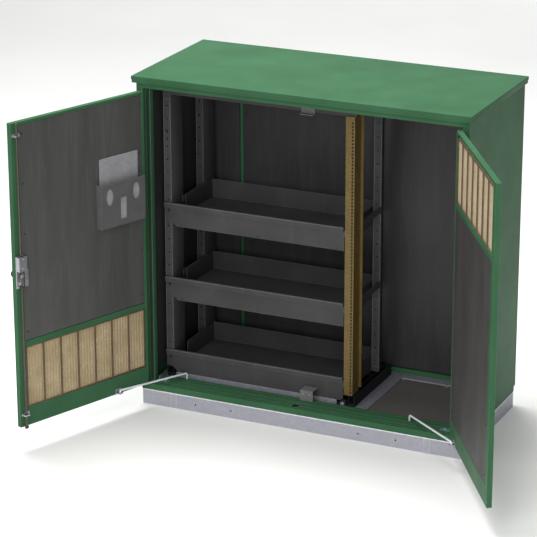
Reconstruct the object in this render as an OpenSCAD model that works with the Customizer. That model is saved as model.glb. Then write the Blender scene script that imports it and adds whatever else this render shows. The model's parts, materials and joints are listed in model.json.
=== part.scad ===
// Roadside equipment cabinet with two front doors on a galvanised plinth.
// Millimetres, +Z up, front towards -Y. The origin lies on the ground at the
// centre of the plinth's four anchor holes.

/* [Cabinet] */
// Width across the side walls
body_w = 1246; // [1240:1:1250]
// Depth from the front jamb face to the back frame
body_d = 536; // [532:1:540]
// Height of the plinth above the ground
plinth_h = 58; // [50:1:62]
// Overall height to the top of the roof
total_h = 1240; // [1236:1:1260]
// Thickness of the painted sheet
sheet_t = 2; // [1.5:0.5:2.5]

/* [Roof] */
// Width of the roof
roof_w = 1270; // [1262:1:1280]
// Depth of the roof
roof_d = 572; // [570:1:576]
// Height of the folded roof edge
roof_lip_h = 24; // [20:1:24]

/* [Doors] */
// Height of a door leaf
leaf_h = 1100; // [1090:1:1100]
// Thickness of a door leaf
leaf_t = 18; // [16:1:18]
// Opening angle at which the left door is held
left_open = 111; // [90:1:115]
// Opening angle at which the right door is held
right_open = 122.5; // [90:0.5:123]
// Height of each filter opening
vent_h = 226; // [200:2:240]
// Ribs in front of each filter
vent_ribs = 6; // [4:1:8]

/* [Rack] */
// Number of shelf trays
tray_count = 3; // [3:1:3]
// Vertical distance between trays
tray_pitch = 283; // [270:1:290]
// Height of a tray's front face
tray_face_h = 88; // [70:1:90]
// Pitch of the holes in the perforated upright
hole_pitch = 12.5; // [12.5:0.5:25]

/* [Fixings] */
// Diameter of the plinth's anchor holes
anchor_d = 14; // [10:1:16]
// Distance between anchor holes across the width
anchor_span_x = 1150; // [1100:10:1160]
// Distance between anchor holes across the depth
anchor_span_y = 488; // [484:1:492]

/* [Hidden] */

plinth_hole_z = 28;
washer_w = 36;
washer_t = 5;
shaft_gap = 0.05;
pin_gap = 0.06;
hole_in = 8;
first_hole = 12;
upright_hole_r = 3.8;
flange_w = 10;
tray_hole_xs = [-518, -212, 94];
tray_hole_up = 7;
tray_hole_r = 3;
stud_in = 14;
stud_h = 3;
stud_r = 4.5;
rear_stud_z = 1000;
louvre_in = 20;
louvre_first = 14;
louvre_pitch = 22;
edge_hole_zs = [137, 385, 634, 882];
edge_hole_r = 3.5;
oval_r = 15;
card_w = 176;
card_t = 2;
card_h = 248;
boss_r = 14;
boss_h = 10;
rod_neck = 38;
rack_short = 22;
rack_long = 46;
roller_w = 14;
roller_r = 4.5;
pivot_leg = 16;
arm_t = 5;
ear_plate_x = 14;

green = "#3f6f4c";
liner_grey = "#4b4b4d";
steel_grey = "#6a6a6c";
zinc = "#9a9aa6";
zinc_yellow = "#b8892f";
media_beige = "#a8977a";
dark_steel = "#333335";

front_y = -body_d / 2;
back_y = body_d / 2;
half_w = body_w / 2;
lip_z = total_h - roof_lip_h;
corner_r = 12;
corner_steps = 5;

top_z = total_h - 2;
sill_z = plinth_h + 22;
ledge_z = sill_z + 4;
sill_in_y = front_y + 94;
step_y = front_y + 28;
leaf_z0 = 92;
leaf_z1 = leaf_z0 + leaf_h;
header_z = leaf_z1 + 4;

pin_x = 603;
pin_y = front_y - 9;
pin_r = 3;
knuckle_r = 5.5;
leaf_out_y = front_y - 4;
leaf_in_y = leaf_out_y + leaf_t;
leaf_hinge_x = 596;
leaf_free_x = 3;
stile_w = 34;
hinge_lip = 10;
bottom_rail_h = 66;
top_rail_h = 10;
skin_t = 1.5;
hinge_zs = [190, 630, 1070];
knuckle_h = 24;

jamb_in_x = 579;
rebate_y = front_y + 18;
liner_t = 20;
wall_liner_x = half_w - sheet_t - liner_t;
back_in_y = 250;

rack_x0 = -584;
rack_x1 = 165;
rack_y0 = front_y + 126;
rack_y1 = 209;
rack_z0 = plinth_h + 10;
rack_rail_h = 42;
post_face = 30;
post_web = 92;
tray_x0 = -582;
tray_x1 = 121;
tray_z = 177;
tray_floor_up = 19;
tray_back_y = 178;
upright_x0 = 125;
upright_face = 34;
upright_web = 58;
upright_z1 = 1146;

lock_x = -19;
lock_z = 652;
rod_r = 4;
rod_y = leaf_in_y + 12;
stay_r = 3.5;
stay_z = 108;
stay_y = leaf_in_y + 11;
left_stay_x = -450;
right_stay_x = 510;
left_stay_len = 288;
right_stay_len = 272;
left_stay_park = 171;
right_stay_park = 21;

// ---- helpers -------------------------------------------------------------

function arc_corner(cx, cy, r, a0) =
  [for (i = [0:corner_steps]) [cx + r * cos(a0 + 90 * i / corner_steps),
                               cy + r * sin(a0 + 90 * i / corner_steps)]];

function round_rect(w, d, r) = concat(
  arc_corner(w / 2 - r, d / 2 - r, r, 0),
  arc_corner(r - w / 2, d / 2 - r, r, 90),
  arc_corner(r - w / 2, r - d / 2, r, 180),
  arc_corner(w / 2 - r, r - d / 2, r, 270));

// A box given by its two opposite corners.
module span(x0, x1, y0, y1, z0, z1) {
  translate([x0, y0, z0]) cube([x1 - x0, y1 - y0, z1 - z0]);
}

// A round bar along Y, starting at the point p.
module bar_y(p, r, len) {
  translate(p) rotate([-90, 0, 0]) cylinder(h = len, r = r, $fn = 32);
}

module swing_left() {
  translate([-pin_x, pin_y, 0]) rotate([0, 0, -left_open]) translate([pin_x, -pin_y, 0]) children();
}

module swing_right() {
  translate([pin_x, pin_y, 0]) rotate([0, 0, right_open]) translate([-pin_x, -pin_y, 0]) children();
}

// ---- plinth and floor ----------------------------------------------------

plinth_t = 3;
plinth_flange = 48;
plinth_hole_d = 7;
plinth_hole_xs = [-406, -264, 233, 376];

module plinth() {
  color(zinc) difference() {
    linear_extrude(plinth_h) polygon(round_rect(body_w + 4, body_d, corner_r));
    translate([0, 0, plinth_t]) linear_extrude(plinth_h - 2 * plinth_t)
      polygon(round_rect(body_w + 4 - 2 * plinth_t, body_d - 2 * plinth_t, corner_r - plinth_t));
    translate([0, 0, -1]) linear_extrude(plinth_h + 2)
      polygon(round_rect(body_w - 2 * plinth_flange, body_d - 2 * plinth_flange, 4));
    for (sx = [-1, 1], sy = [-1, 1])
      translate([sx * anchor_span_x / 2, sy * anchor_span_y / 2, -1])
        cylinder(h = plinth_t + 2, d = anchor_d, $fn = 48);
    for (x = plinth_hole_xs) bar_y([x, front_y - 1, plinth_hole_z], plinth_hole_d / 2, plinth_t + 2);
  }
}

module anchor_washers() {
  color(zinc) for (sx = [-1, 1], sy = [-1, 1])
    translate([sx * anchor_span_x / 2, sy * anchor_span_y / 2, plinth_t]) difference() {
      translate([-washer_w / 2, -washer_w / 2, 0]) cube([washer_w, washer_w, washer_t]);
      translate([0, 0, -1]) cylinder(h = washer_t + 2, d = anchor_d, $fn = 48);
    }
}

floor_z = rack_z0;
gland_x0 = 213;
gland_x1 = half_w - 50;
gland_y0 = sill_in_y - 20;
gland_y1 = 196;
cable_x0 = rack_x0 + 60;
cable_x1 = rack_x1 - 15;
plate_gap = 0.5;
plate_seat = 12;
plate_z0 = plinth_h + 3;
cable_y0 = sill_in_y + 40;
cable_y1 = gland_y1 - 16;

// An opening with a seat around it for a plate that drops in.
module seated_opening(x0, x1, y0, y1) {
  span(x0, x1, y0, y1, plate_z0, floor_z + 1);
  span(x0 + plate_seat, x1 - plate_seat, y0 + plate_seat, y1 - plate_seat, plinth_h - 1, floor_z + 1);
}

module floor_plate(x0, x1, y0, y1) {
  span(x0 + plate_gap, x1 - plate_gap, y0 + plate_gap, y1 - plate_gap, plate_z0, plate_z0 + 3);
}

// Welded frame of flat members on the plinth, with an opening under each bay.
module floor_frame() {
  color(zinc) difference() {
    span(-half_w + 6, half_w - 6, front_y + 6, back_y - 6, plinth_h, floor_z);
    seated_opening(cable_x0, cable_x1, cable_y0, cable_y1);
    seated_opening(gland_x0, gland_x1, gland_y0, gland_y1);
  }
}

module gland_plate() { color("#6f6a66") floor_plate(gland_x0, gland_x1, gland_y0, gland_y1); }
module rack_floor_plate() { color(dark_steel) floor_plate(cable_x0, cable_x1, cable_y0, cable_y1); }

bead_y = step_y + 26;
bead_w = 3;
bead_h = 0.6;
rod_slot_x = 12;
rod_slot_y = 9;
stay_hole_d = 9.5;

module front_sill() {
  color(green) difference() {
    union() {
      span(-half_w + sheet_t, half_w - sheet_t, front_y, front_y + sheet_t, plinth_h, sill_z);
      span(-half_w + sheet_t, half_w - sheet_t, front_y, step_y, sill_z - sheet_t, sill_z);
      span(-jamb_in_x, jamb_in_x, step_y - sheet_t, step_y, sill_z - sheet_t, ledge_z);
      span(-jamb_in_x, jamb_in_x, step_y - sheet_t, sill_in_y, ledge_z - sheet_t, ledge_z);
      span(-jamb_in_x, jamb_in_x, sill_in_y - sheet_t, sill_in_y, floor_z, ledge_z);
      span(-jamb_in_x, jamb_in_x, bead_y, bead_y + bead_w, ledge_z - 1, ledge_z + bead_h);
    }
    span(lock_x - rod_slot_x, lock_x + rod_slot_x, rod_y - rod_slot_y, rod_y + rod_slot_y,
         sill_z - 5, ledge_z + 5);
    for (p = stay_holes) translate([p[0], p[1], sill_z - 5]) cylinder(h = 15, d = stay_hole_d,
         $fn = 32);
  }
}

left_pivot = [left_stay_x, stay_y];
right_pivot = [right_stay_x, stay_y];

function turn(v, a) = [v[0] * cos(a) - v[1] * sin(a), v[0] * sin(a) + v[1] * cos(a)];

// Where each stay's hook stands with the doors held open.
left_hook = [-pin_x, pin_y]
  + turn(left_pivot + [pin_x, -pin_y] + left_stay_len * [cos(left_stay_park), sin(left_stay_park)],
         -left_open);
right_hook = [pin_x, pin_y]
  + turn(right_pivot + [-pin_x, -pin_y] + right_stay_len * [cos(right_stay_park), sin(right_stay_park)],
         right_open);
stay_holes = [left_hook, right_hook];

rear_sill_d = 30;

module rear_sill() {
  color(green) {
    span(-half_w + sheet_t, half_w - sheet_t, back_y - sheet_t, back_y, plinth_h, rear_open_z0);
    span(-half_w + sheet_t, half_w - sheet_t, back_y - rear_sill_d, back_y,
         rear_open_z0 - sheet_t, rear_open_z0);
    span(-half_w + sheet_t, half_w - sheet_t, back_y - rear_sill_d,
         back_y - rear_sill_d + sheet_t, floor_z, rear_open_z0);
  }
}

// ---- body shell ------------------------------------------------------------

rear_open_x = 454;
rear_open_z0 = 86;
rear_open_z1 = 1180;

module side_wall(s) {
  x = s * half_w;
  span(min(x, x - s * sheet_t), max(x, x - s * sheet_t), front_y, back_y, plinth_h, top_z);
}

module left_wall() { color(green) side_wall(-1); }
module right_wall() { color(green) side_wall(1); }

// Folded door jamb: front face, step back and rebate flange with its return.
module jamb() {
  color(green) {
    span(-half_w + sheet_t, -leaf_hinge_x - 1, front_y, front_y + sheet_t, sill_z, header_z);
    span(-leaf_hinge_x - 1 - sheet_t, -leaf_hinge_x - 1, front_y, rebate_y + sheet_t, sill_z, header_z);
    span(-leaf_hinge_x - 1 - sheet_t, -jamb_in_x, rebate_y, rebate_y + sheet_t, sill_z, header_z);
    span(-jamb_in_x - sheet_t, -jamb_in_x, rebate_y, rebate_y + 22, ledge_z, header_z);
  }
}

module left_jamb() { jamb(); }
module right_jamb() { mirror([1, 0, 0]) jamb(); }

module header() {
  color(green) difference() {
    union() {
      span(-half_w + sheet_t, half_w - sheet_t, front_y, front_y + sheet_t, header_z, top_z);
      span(-half_w + sheet_t, half_w - sheet_t, front_y, sill_in_y, header_z, header_z + sheet_t);
      span(-half_w + sheet_t, half_w - sheet_t, sill_in_y - sheet_t, sill_in_y, header_z, top_z);
    }
    translate([lock_x, rod_y, header_z - 2]) cylinder(h = 8, d = 14, $fn = 48);
  }
}

module rear_frame() {
  color(green) difference() {
    span(-half_w + sheet_t, half_w - sheet_t, back_in_y, back_y, rear_open_z0, top_z);
    span(-rear_open_x, rear_open_x, back_in_y - 1, back_y + 1, rear_open_z0 - 1, rear_open_z1);
    span(-half_w - 1, -rear_open_x - sheet_t, back_in_y + sheet_t, back_y - sheet_t,
         rear_open_z0 - 1, top_z + 1);
    span(rear_open_x + sheet_t, half_w + 1, back_in_y + sheet_t, back_y - sheet_t,
         rear_open_z0 - 1, top_z + 1);
    span(-half_w - 1, half_w + 1, back_in_y + sheet_t, back_y - sheet_t,
         rear_open_z1 + sheet_t, top_z + 1);
  }
}

rear_pan_t = 15;
rear_pan_z0 = 76;
rear_pan_z1 = lip_z - 4;

module rear_panel() {
  color(green) difference() {
    span(-half_w, half_w, back_y, back_y + rear_pan_t, rear_pan_z0, rear_pan_z1);
    span(-half_w + sheet_t, half_w - sheet_t, back_y - 1, back_y + rear_pan_t - sheet_t,
         rear_pan_z0 + sheet_t, rear_pan_z1 - sheet_t);
  }
}

module rear_panel_liner() {
  color(liner_grey) span(-rear_open_x + 4, rear_open_x - 4, back_in_y - 6,
       back_y + rear_pan_t - sheet_t,
                         rear_open_z0 + 4, rear_open_z1 - 4);
}

side_liner_x0 = 466;
side_liner_x1 = 598;
side_liner_t = 8;
liner_z0 = 116;
liner_z1 = 1186;

module rear_side_liners() {
  color(liner_grey) for (s = [-1, 1]) {
    xa = s * side_liner_x0;
    xb = s * side_liner_x1;
    span(min(xa, xb), max(xa, xb), back_in_y - side_liner_t, back_in_y, rear_open_z0 + 26,
         liner_z1 - 16);
  }
}

module wall_liner(s) {
  xa = s * wall_liner_x;
  xb = s * (wall_liner_x + liner_t);
  span(min(xa, xb), max(xa, xb), rebate_y + 24, back_in_y - 10, liner_z0, liner_z1);
}

module left_liner() { color(liner_grey) wall_liner(-1); }
module right_liner() { color(liner_grey) wall_liner(1); }

roof_t = 2;

module roof() {
  color(green) difference() {
    translate([0, 0, lip_z]) linear_extrude(roof_lip_h) polygon(round_rect(roof_w, roof_d, 4));
    translate([0, 0, lip_z - 1]) linear_extrude(roof_lip_h - roof_t + 1)
      polygon(round_rect(roof_w - 2 * roof_t, roof_d - 2 * roof_t, 2));
  }
}

module ceiling_liner() {
  color(liner_grey) span(-half_w + 12, half_w - 12, sill_in_y + 4, back_in_y - 2, header_z + 14, top_z);
}

module jamb_seals() {
  color(dark_steel) for (s = [-1, 1]) {
    xa = s * (jamb_in_x + 4);
    xb = s * (jamb_in_x + 13);
    span(min(xa, xb), max(xa, xb), leaf_in_y + 0.4, rebate_y, sill_z + 14, header_z - 6);
  }
}

strike_w = 50;
strike_h = 39;
strike_drop = 46;
sill_bracket_x0 = 530;
sill_bracket_x1 = 568;

module strike_brackets() {
  color("#8a8a8c") {
    span(-strike_w / 2, strike_w / 2, sill_in_y - 18, sill_in_y - 16, ledge_z, ledge_z + strike_h);
    span(-strike_w / 2, strike_w / 2, sill_in_y - 18, rack_y0 - 4.6,
         ledge_z + strike_h - sheet_t, ledge_z + strike_h);
    span(-strike_w / 2, strike_w / 2, sill_in_y - 12, sill_in_y - 10, header_z - strike_drop, header_z);
    span(-strike_w / 2, strike_w / 2, sill_in_y - 28, sill_in_y - 10, header_z - strike_drop,
         header_z - strike_drop + sheet_t);
  }
}

module sill_hinge_brackets() {
  color("#7fa3a8") for (s = [-1, 1]) {
    xa = s * sill_bracket_x0;
    xb = s * sill_bracket_x1;
    span(min(xa, xb), max(xa, xb), step_y + 1, step_y + 24, ledge_z, ledge_z + 2);
    span(min(xb, xb - s * 2), max(xb, xb - s * 2), step_y + 1, step_y + 24, ledge_z, ledge_z + 18);
  }
}

// ---- equipment rack ----------------------------------------------------------

runner_w = 25;
runner_t = 3;
runner_floor = 5.5;
cross_w = 20;
strip_x0 = -545;
strip_x1 = 97;

module rack_base() {
  color(dark_steel) {
    for (x = [rack_x0, rack_x1 - runner_w]) {
      span(x, x + runner_w, rack_y0 + 2, rack_y1, rack_z0, rack_z0 + runner_floor);
      span(x, x + runner_t, rack_y0 + 2, rack_y1, rack_z0, rack_z0 + rack_rail_h);
      span(x + runner_w - runner_t, x + runner_w, rack_y0 + 2, rack_y1, rack_z0,
           rack_z0 + rack_rail_h);
    }
    span(rack_x0, rack_x1, rack_y1 - cross_w, rack_y1, rack_z0, rack_z0 + cross_w);
    span(rack_x0, rack_x1, rack_y0 + 2, rack_y0 + 2 + cross_w, rack_z0, rack_z0 + cross_w / 2);
  }
}

module rack_front_strip() {
  color(zinc) span(strip_x0, strip_x1, rack_y0 - 2, rack_y0 + 1.7, floor_z, tray_z - tray_face_h - 0.5);
}

// Folded post: a front face and a web that runs back from it.
module post(x, y0, s) {
  z0 = rack_z0 + rack_rail_h;
  xa = x;
  xb = x + s * post_face;
  xw = xb - s * sheet_t;
  span(min(xa, xb), max(xa, xb), y0, y0 + sheet_t, z0, upright_z1);
  span(min(xw, xb), max(xw, xb), y0, y0 + post_web, z0, upright_z1);
  span(min(xa, xa + s * sheet_t), max(xa, xa + s * sheet_t), y0, y0 + 14, z0, upright_z1);
}

module post_front_left() { color(steel_grey) post(rack_x0, rack_y0, 1); }
module post_rear_left() { color(steel_grey) post(rack_x0, rack_y1 - post_web, 1); }
module post_rear_right() { color(steel_grey) post(rack_x1 - 12, rack_y1 - post_web, -1); }

upright_z0 = 112;
upright_y0 = rack_y0 - 3;
hole_count = floor((upright_z1 - upright_z0 - 20) / hole_pitch);

module perforated_upright() {
  x1 = upright_x0 + upright_face;
  color(zinc_yellow) difference() {
    union() {
      span(upright_x0, x1, upright_y0, upright_y0 + sheet_t, upright_z0, upright_z1);
      span(x1 - sheet_t, x1, upright_y0, upright_y0 + upright_web, upright_z0, upright_z1);
      span(x1 - sheet_t, x1 + flange_w, upright_y0 + upright_web - sheet_t, upright_y0 + upright_web,
           upright_z0 + 16, upright_z1);
    }
    for (i = [0:hole_count - 1]) bar_y([x1 - hole_in, upright_y0 - 1,
         upright_z0 + first_hole + i * hole_pitch],
            upright_hole_r, 4);
  }
}

module foot_block(x0, x1, z0, z1) {
  span(x0, x1, upright_y0 + sheet_t, upright_y0 + 42, z0, z1);
}

module upright_brackets() {
  x1 = upright_x0 + upright_face;
  color(dark_steel) {
    foot_block(upright_x0 + sheet_t, x1 - sheet_t, rack_z0 + rack_rail_h, upright_z0 + 26);
    foot_block(upright_x0 + sheet_t, x1 - sheet_t, upright_z1 - 24, upright_z1);
    span(upright_x0 - 8, upright_x0 + 14, upright_y0 - 12, upright_y0 - 0.5, floor_z, floor_z + 28);
  }
}

side_rail_zs = [462, 745];
side_rail_h = 24;
rail_joggle_x = rack_x1 - 15;

// Flat rails that tie each front post to the rear post behind it.
module rack_side_rails() {
  left_x = rack_x0 + post_face;
  flange_y = upright_y0 + upright_web;
  color(steel_grey) for (z = side_rail_zs) {
    span(left_x, left_x + 4, rack_y0 + post_web - 12, rack_y1 - post_web + 12, z - side_rail_h, z);
    span(rail_joggle_x, rail_joggle_x + 3, flange_y, rack_y1 - post_web, z - side_rail_h, z);
    span(rail_joggle_x, rack_x1 + 4, flange_y, flange_y + 2, z - side_rail_h, z);
  }
}

module rack_top_frame() {
  z0 = upright_z1;
  color(steel_grey) difference() {
    span(rack_x0, rack_x1, rack_y0, rack_y1, z0, z0 + 26);
    span(rack_x0 + 24, rack_x1 - 24, rack_y0 + 24, rack_y1 - 24, z0 - 1, z0 + 27);
  }
}

tray_face_y = rack_y0 - sheet_t;
ear_h = 46;
ear_hole_x = rack_x0 + 18;
ear_hole_down = 30;
lip_out = 8;
lip_h = 18;

// Shelf tray: rolled front lip, deep front face with an ear over the post and a tab
// behind the perforated upright, floor, side upstands and a rear upstand.
module tray(z) {
  z_low = z - tray_face_h;
  fz = z_low + tray_floor_up;
  in_x0 = rack_x0 + post_face + 6;
  in_x1 = tray_x1 - 1;
  difference() {
    union() {
      translate([0, rack_y0, 0]) rotate([90, 0, 0]) linear_extrude(sheet_t)
        polygon([[tray_x0, z], [tray_x0, z - ear_h], [in_x0 + 12, z_low], [tray_x1, z_low],
             [tray_x1, z]]);
      span(tray_x0, tray_x1, tray_face_y - lip_out, tray_face_y, z - lip_h, z);
      span(in_x0, in_x1, tray_face_y, tray_back_y, fz - sheet_t, fz);
      span(in_x0, in_x0 + sheet_t, rack_y0 + post_web + 4, tray_back_y, fz - sheet_t, z);
      span(in_x1 - sheet_t, in_x1, tray_face_y, tray_back_y, fz - sheet_t, z);
      span(in_x0, in_x1, tray_back_y - sheet_t, tray_back_y, fz - sheet_t, z);
      span(in_x1 - sheet_t, upright_x0 + 12, upright_y0 + sheet_t, upright_y0 + 2 * sheet_t,
           z - 36, z - 12);
    }
    for (x = tray_hole_xs) bar_y([x, tray_face_y - 1, z_low + tray_hole_up], tray_hole_r, 4);
    bar_y([ear_hole_x, tray_face_y - 1, z - ear_hole_down], 3, 4);
  }
}

module tray_bottom() { color(steel_grey) tray(tray_z); }
module tray_middle() { color(steel_grey) tray(tray_z + tray_pitch); }
module tray_top() { color(steel_grey) tray(tray_z + (tray_count - 1) * tray_pitch); }

stud_zs = [980, 1010];

module rack_screws() {
  color(zinc) {
    for (i = [0:tray_count - 1]) {
      z = tray_z + i * tray_pitch - ear_hole_down;
      bar_y([ear_hole_x, tray_face_y, z], 2.9, sheet_t);
      bar_y([ear_hole_x, tray_face_y - 2.4, z], 5, 2.4);
    }
    for (z = stud_zs) bar_y([rack_x0 + stud_in, rack_y0 - stud_h, z], stud_r, stud_h);
    bar_y([rack_x0 + stud_in, rack_y1 - post_web - stud_h, rear_stud_z], stud_r, stud_h);
  }
}

// ---- hinges ------------------------------------------------------------------

module body_knuckles() {
  color(green) for (z = hinge_zs) {
    translate([-pin_x, pin_y, z]) cylinder(h = knuckle_h, r = knuckle_r, $fn = 48);
    translate([-pin_x, pin_y, z]) cylinder(h = 2 * knuckle_h - 4, r = pin_r, $fn = 48);
    span(-half_w + 6, -pin_x - 3.6, front_y - 3, front_y, z, z + knuckle_h);
    span(-pin_x - 6, -pin_x - 3.6, pin_y - 1, front_y, z, z + knuckle_h);
  }
}

module left_hinge_knuckles() { body_knuckles(); }
module right_hinge_knuckles() { mirror([1, 0, 0]) body_knuckles(); }

// Door half of each hinge, welded to the leaf's outer face.
module leaf_knuckles() {
  for (z = hinge_zs) difference() {
    union() {
      translate([-pin_x, pin_y, z + knuckle_h + 0.5]) cylinder(h = knuckle_h, r = knuckle_r, $fn = 48);
      span(-pin_x, -leaf_hinge_x + 22, leaf_out_y - 2.5, leaf_out_y + 0.5, z + knuckle_h + 0.5,
           z + 2 * knuckle_h + 0.5);
    }
    translate([-pin_x, pin_y, z + knuckle_h]) cylinder(h = knuckle_h + 2, r = pin_r + pin_gap,
         $fn = 48);
  }
}

// ---- door leaves ---------------------------------------------------------------

louvre_w = 150;
louvre_h = 6;
louvre_rows = 9;
louvre_xs = [-520, -320, -120];

// Leaf shell as it hangs closed on the left: skin, folded edges, and inner lips.
module leaf_shell(vent_z0) {
  color(green) {
    difference() {
      span(-leaf_hinge_x, -leaf_free_x, leaf_out_y, leaf_in_y, leaf_z0, leaf_z1);
      span(-leaf_hinge_x + skin_t, -leaf_free_x - skin_t, leaf_out_y + skin_t, leaf_in_y - skin_t,
           leaf_z0 + skin_t, leaf_z1 - skin_t);
      span(-leaf_hinge_x + hinge_lip, -leaf_free_x - stile_w, leaf_in_y - 5, leaf_in_y + 1,
           leaf_z0 + bottom_rail_h, leaf_z1 - top_rail_h);
      for (x = louvre_xs, i = [0:louvre_rows - 1])
        span(x - louvre_w / 2 + louvre_in, x + louvre_w / 2 + louvre_in, leaf_out_y - 1,
             leaf_out_y + skin_t + 1,
             vent_z0 + louvre_first + i * louvre_pitch,
             vent_z0 + louvre_first + i * louvre_pitch + louvre_h);
    }
    leaf_knuckles();
  }
}

left_vent_z0 = leaf_z0 + bottom_rail_h;
left_rail_z0 = left_vent_z0 + vent_h;
rail_h = 21;
right_vent_z1 = leaf_z1 - top_rail_h - 12;
right_vent_z0 = right_vent_z1 - vent_h;
win_x0 = -leaf_hinge_x + hinge_lip + 0.5;
win_x1 = -leaf_free_x - stile_w - 0.5;

module leaf_liner(z0, z1) {
  color(liner_grey) span(win_x0, win_x1, leaf_out_y + skin_t, leaf_in_y - 0.8, z0, z1);
}

module cross_rail(z0) {
  color(green) span(win_x0, win_x1, leaf_out_y + skin_t, leaf_in_y, z0, z0 + rail_h);
}

module filter_pad(z0) {
  color(media_beige) span(win_x0 + 1, win_x1 - 1, leaf_out_y + skin_t + 3, leaf_in_y - 4.5, z0 + 1,
                          z0 + vent_h - 1);
}

module filter_ribs(z0) {
  pitch = (win_x1 - win_x0) / (vent_ribs + 1);
  y0 = leaf_in_y - 4.5;
  color("#6d5c40") {
    for (i = [1:vent_ribs])
      span(win_x0 + i * pitch - 3, win_x0 + i * pitch + 3, y0, leaf_in_y - 0.6, z0, z0 + vent_h);
    for (z = [z0, z0 + vent_h - 4]) span(win_x0 + 1, win_x1 - 1, y0, y0 + 1.9, z, z + 4);
  }
}

module left_door_shell() {
  swing_left() difference() {
    leaf_shell(left_vent_z0);
    shaft_bore();
  }
}
module left_door_liner() { swing_left() leaf_liner(left_rail_z0 + rail_h + 2,
     leaf_z1 - top_rail_h - 1); }
module left_door_rail() { swing_left() cross_rail(left_rail_z0); }
module left_filter() { swing_left() filter_pad(left_vent_z0); }
module left_filter_ribs() { swing_left() filter_ribs(left_vent_z0); }

module right_door_shell() {
  swing_right() mirror([1, 0, 0]) difference() {
    leaf_shell(right_vent_z0);
    for (z = edge_hole_zs)
      bar_y([-leaf_free_x - 12, leaf_in_y - 4, z], edge_hole_r, 8);
  }
}
module right_door_liner() {
  swing_right() mirror([1, 0, 0]) leaf_liner(leaf_z0 + bottom_rail_h + 1, right_vent_z0 - rail_h - 2);
}
module right_door_rail() { swing_right() mirror([1, 0, 0]) cross_rail(right_vent_z0 - rail_h); }
module right_filter() { swing_right() mirror([1, 0, 0]) filter_pad(right_vent_z0); }
module right_filter_ribs() { swing_right() mirror([1, 0, 0]) filter_ribs(right_vent_z0); }

// ---- document pocket -------------------------------------------------------------

pocket_x0 = -jamb_in_x + 3;
pocket_w = 204;
pocket_z0 = 736;
pocket_h = 160;
pocket_d = 26;

module document_pocket() {
  x0 = pocket_x0;
  x1 = pocket_x0 + pocket_w;
  y0 = leaf_in_y - 0.8;
  swing_left() color(steel_grey) difference() {
    span(x0, x1, y0, y0 + pocket_d, pocket_z0, pocket_z0 + pocket_h);
    span(x0 + 1.5, x1 - 1.5, y0 + 1.5, y0 + pocket_d - 1.5, pocket_z0 + 1.5, pocket_z0 + pocket_h + 1);
    for (x = [x0 + 42, x1 - 40]) translate([x, y0 + pocket_d - 3, pocket_z0 + 111]) scale([1, 1, 2])
      rotate([-90, 0, 0]) cylinder(h = 6, r = oval_r, $fn = 48);
    span(x0 + 88, x0 + 115, y0 + pocket_d - 3, y0 + pocket_d + 1, pocket_z0 + 22, pocket_z0 + 100);
  }
}

module diagram_card() {
  x0 = pocket_x0 + 14;
  y0 = leaf_in_y - 0.8 + 1.5;
  z0 = pocket_z0 + 1.5;
  swing_left() color("#b9b9bb") span(x0, x0 + card_w, y0, y0 + card_t, z0, z0 + card_h);
}

// ---- three-point lock --------------------------------------------------------------

shaft_r = 8;
case_x0 = lock_x - 20;
case_x1 = lock_x + 15;
case_z0 = lock_z - 46;
case_z1 = lock_z + 70;
cover_z0 = lock_z + 18;
cover_y = leaf_in_y + 21;
base_t = 5;
pinion_r = 8.5;
rack_off = 9;
rack_w = 3;

// A bore for the handle's shaft, which runs in it with 0.05 clearance.
module shaft_bore() {
  translate([lock_x, leaf_out_y - 1, lock_z]) rotate([-90, 0, 0])
    cylinder(h = leaf_t + base_t + 2, r = shaft_r + shaft_gap, $fn = 48);
}

module lock_case() {
  swing_left() color(zinc) difference() {
    union() {
      span(case_x0, case_x1, leaf_in_y, leaf_in_y + base_t, case_z0, case_z1);
      span(case_x0 - 18, case_x0, leaf_in_y, leaf_in_y + 3, case_z0, lock_z + 14);
      span(case_x0, case_x1, cover_y - 2, cover_y, cover_z0, case_z1);
      span(case_x0, case_x0 + 1.5, leaf_in_y, cover_y, cover_z0, case_z1);
      span(case_x1 - 1.5, case_x1, leaf_in_y, cover_y, cover_z0, case_z1);
    }
    shaft_bore();
  }
}

guide_zs = [136, 1146];

module rod_guides() {
  swing_left() color(zinc) for (z = guide_zs) difference() {
    union() {
      span(lock_x - 22, lock_x + 12, leaf_in_y, leaf_in_y + 2, z - 3, z + 9);
      span(lock_x - 10, lock_x + 10, leaf_in_y, rod_y + 8, z, z + 5);
    }
    translate([lock_x, rod_y, z - 1]) cylinder(h = 7, r = rod_r + pin_gap, $fn = 48);
  }
}

tongue_len = 35;
tongue_y = leaf_in_y + base_t + 0.4;

// Shaft through the door with the rod pinion and the tongue that holds the other leaf.
module lock_pinion() {
  swing_left() color(zinc) {
    bar_y([lock_x, leaf_out_y - 2, lock_z], shaft_r, leaf_t + base_t + 7);
    bar_y([lock_x, rod_y - 3, lock_z], pinion_r, 7);
    span(lock_x - 7, lock_x + 7, tongue_y, tongue_y + sheet_t, lock_z - tongue_len, lock_z);
  }
}

handle_len = 122;
handle_y = leaf_out_y - 12;

module door_handle() {
  swing_left() color(dark_steel) {
    bar_y([lock_x, handle_y, lock_z], boss_r, boss_h);
    span(lock_x - handle_len, lock_x, handle_y, handle_y + 8, lock_z - 9, lock_z + 9);
  }
}

// One rod with its flat rack beside the pinion; s is the side that the rack lies on.
module lock_rod(z0, z1, rack_z0, rack_z1, neck_z, s) {
  xa = lock_x + s * rack_off;
  xb = lock_x + s * (rack_off + rack_w);
  color(zinc) {
    translate([lock_x, rod_y, z0]) cylinder(h = z1 - z0, r = rod_r, $fn = 32);
    span(min(xa, xb), max(xa, xb), rod_y - 2.5, rod_y + 2.5, rack_z0, rack_z1);
    span(min(lock_x, xb), max(lock_x, xb), rod_y - 2.5, rod_y + 2.5, neck_z, neck_z + arm_t);
  }
}

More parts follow.
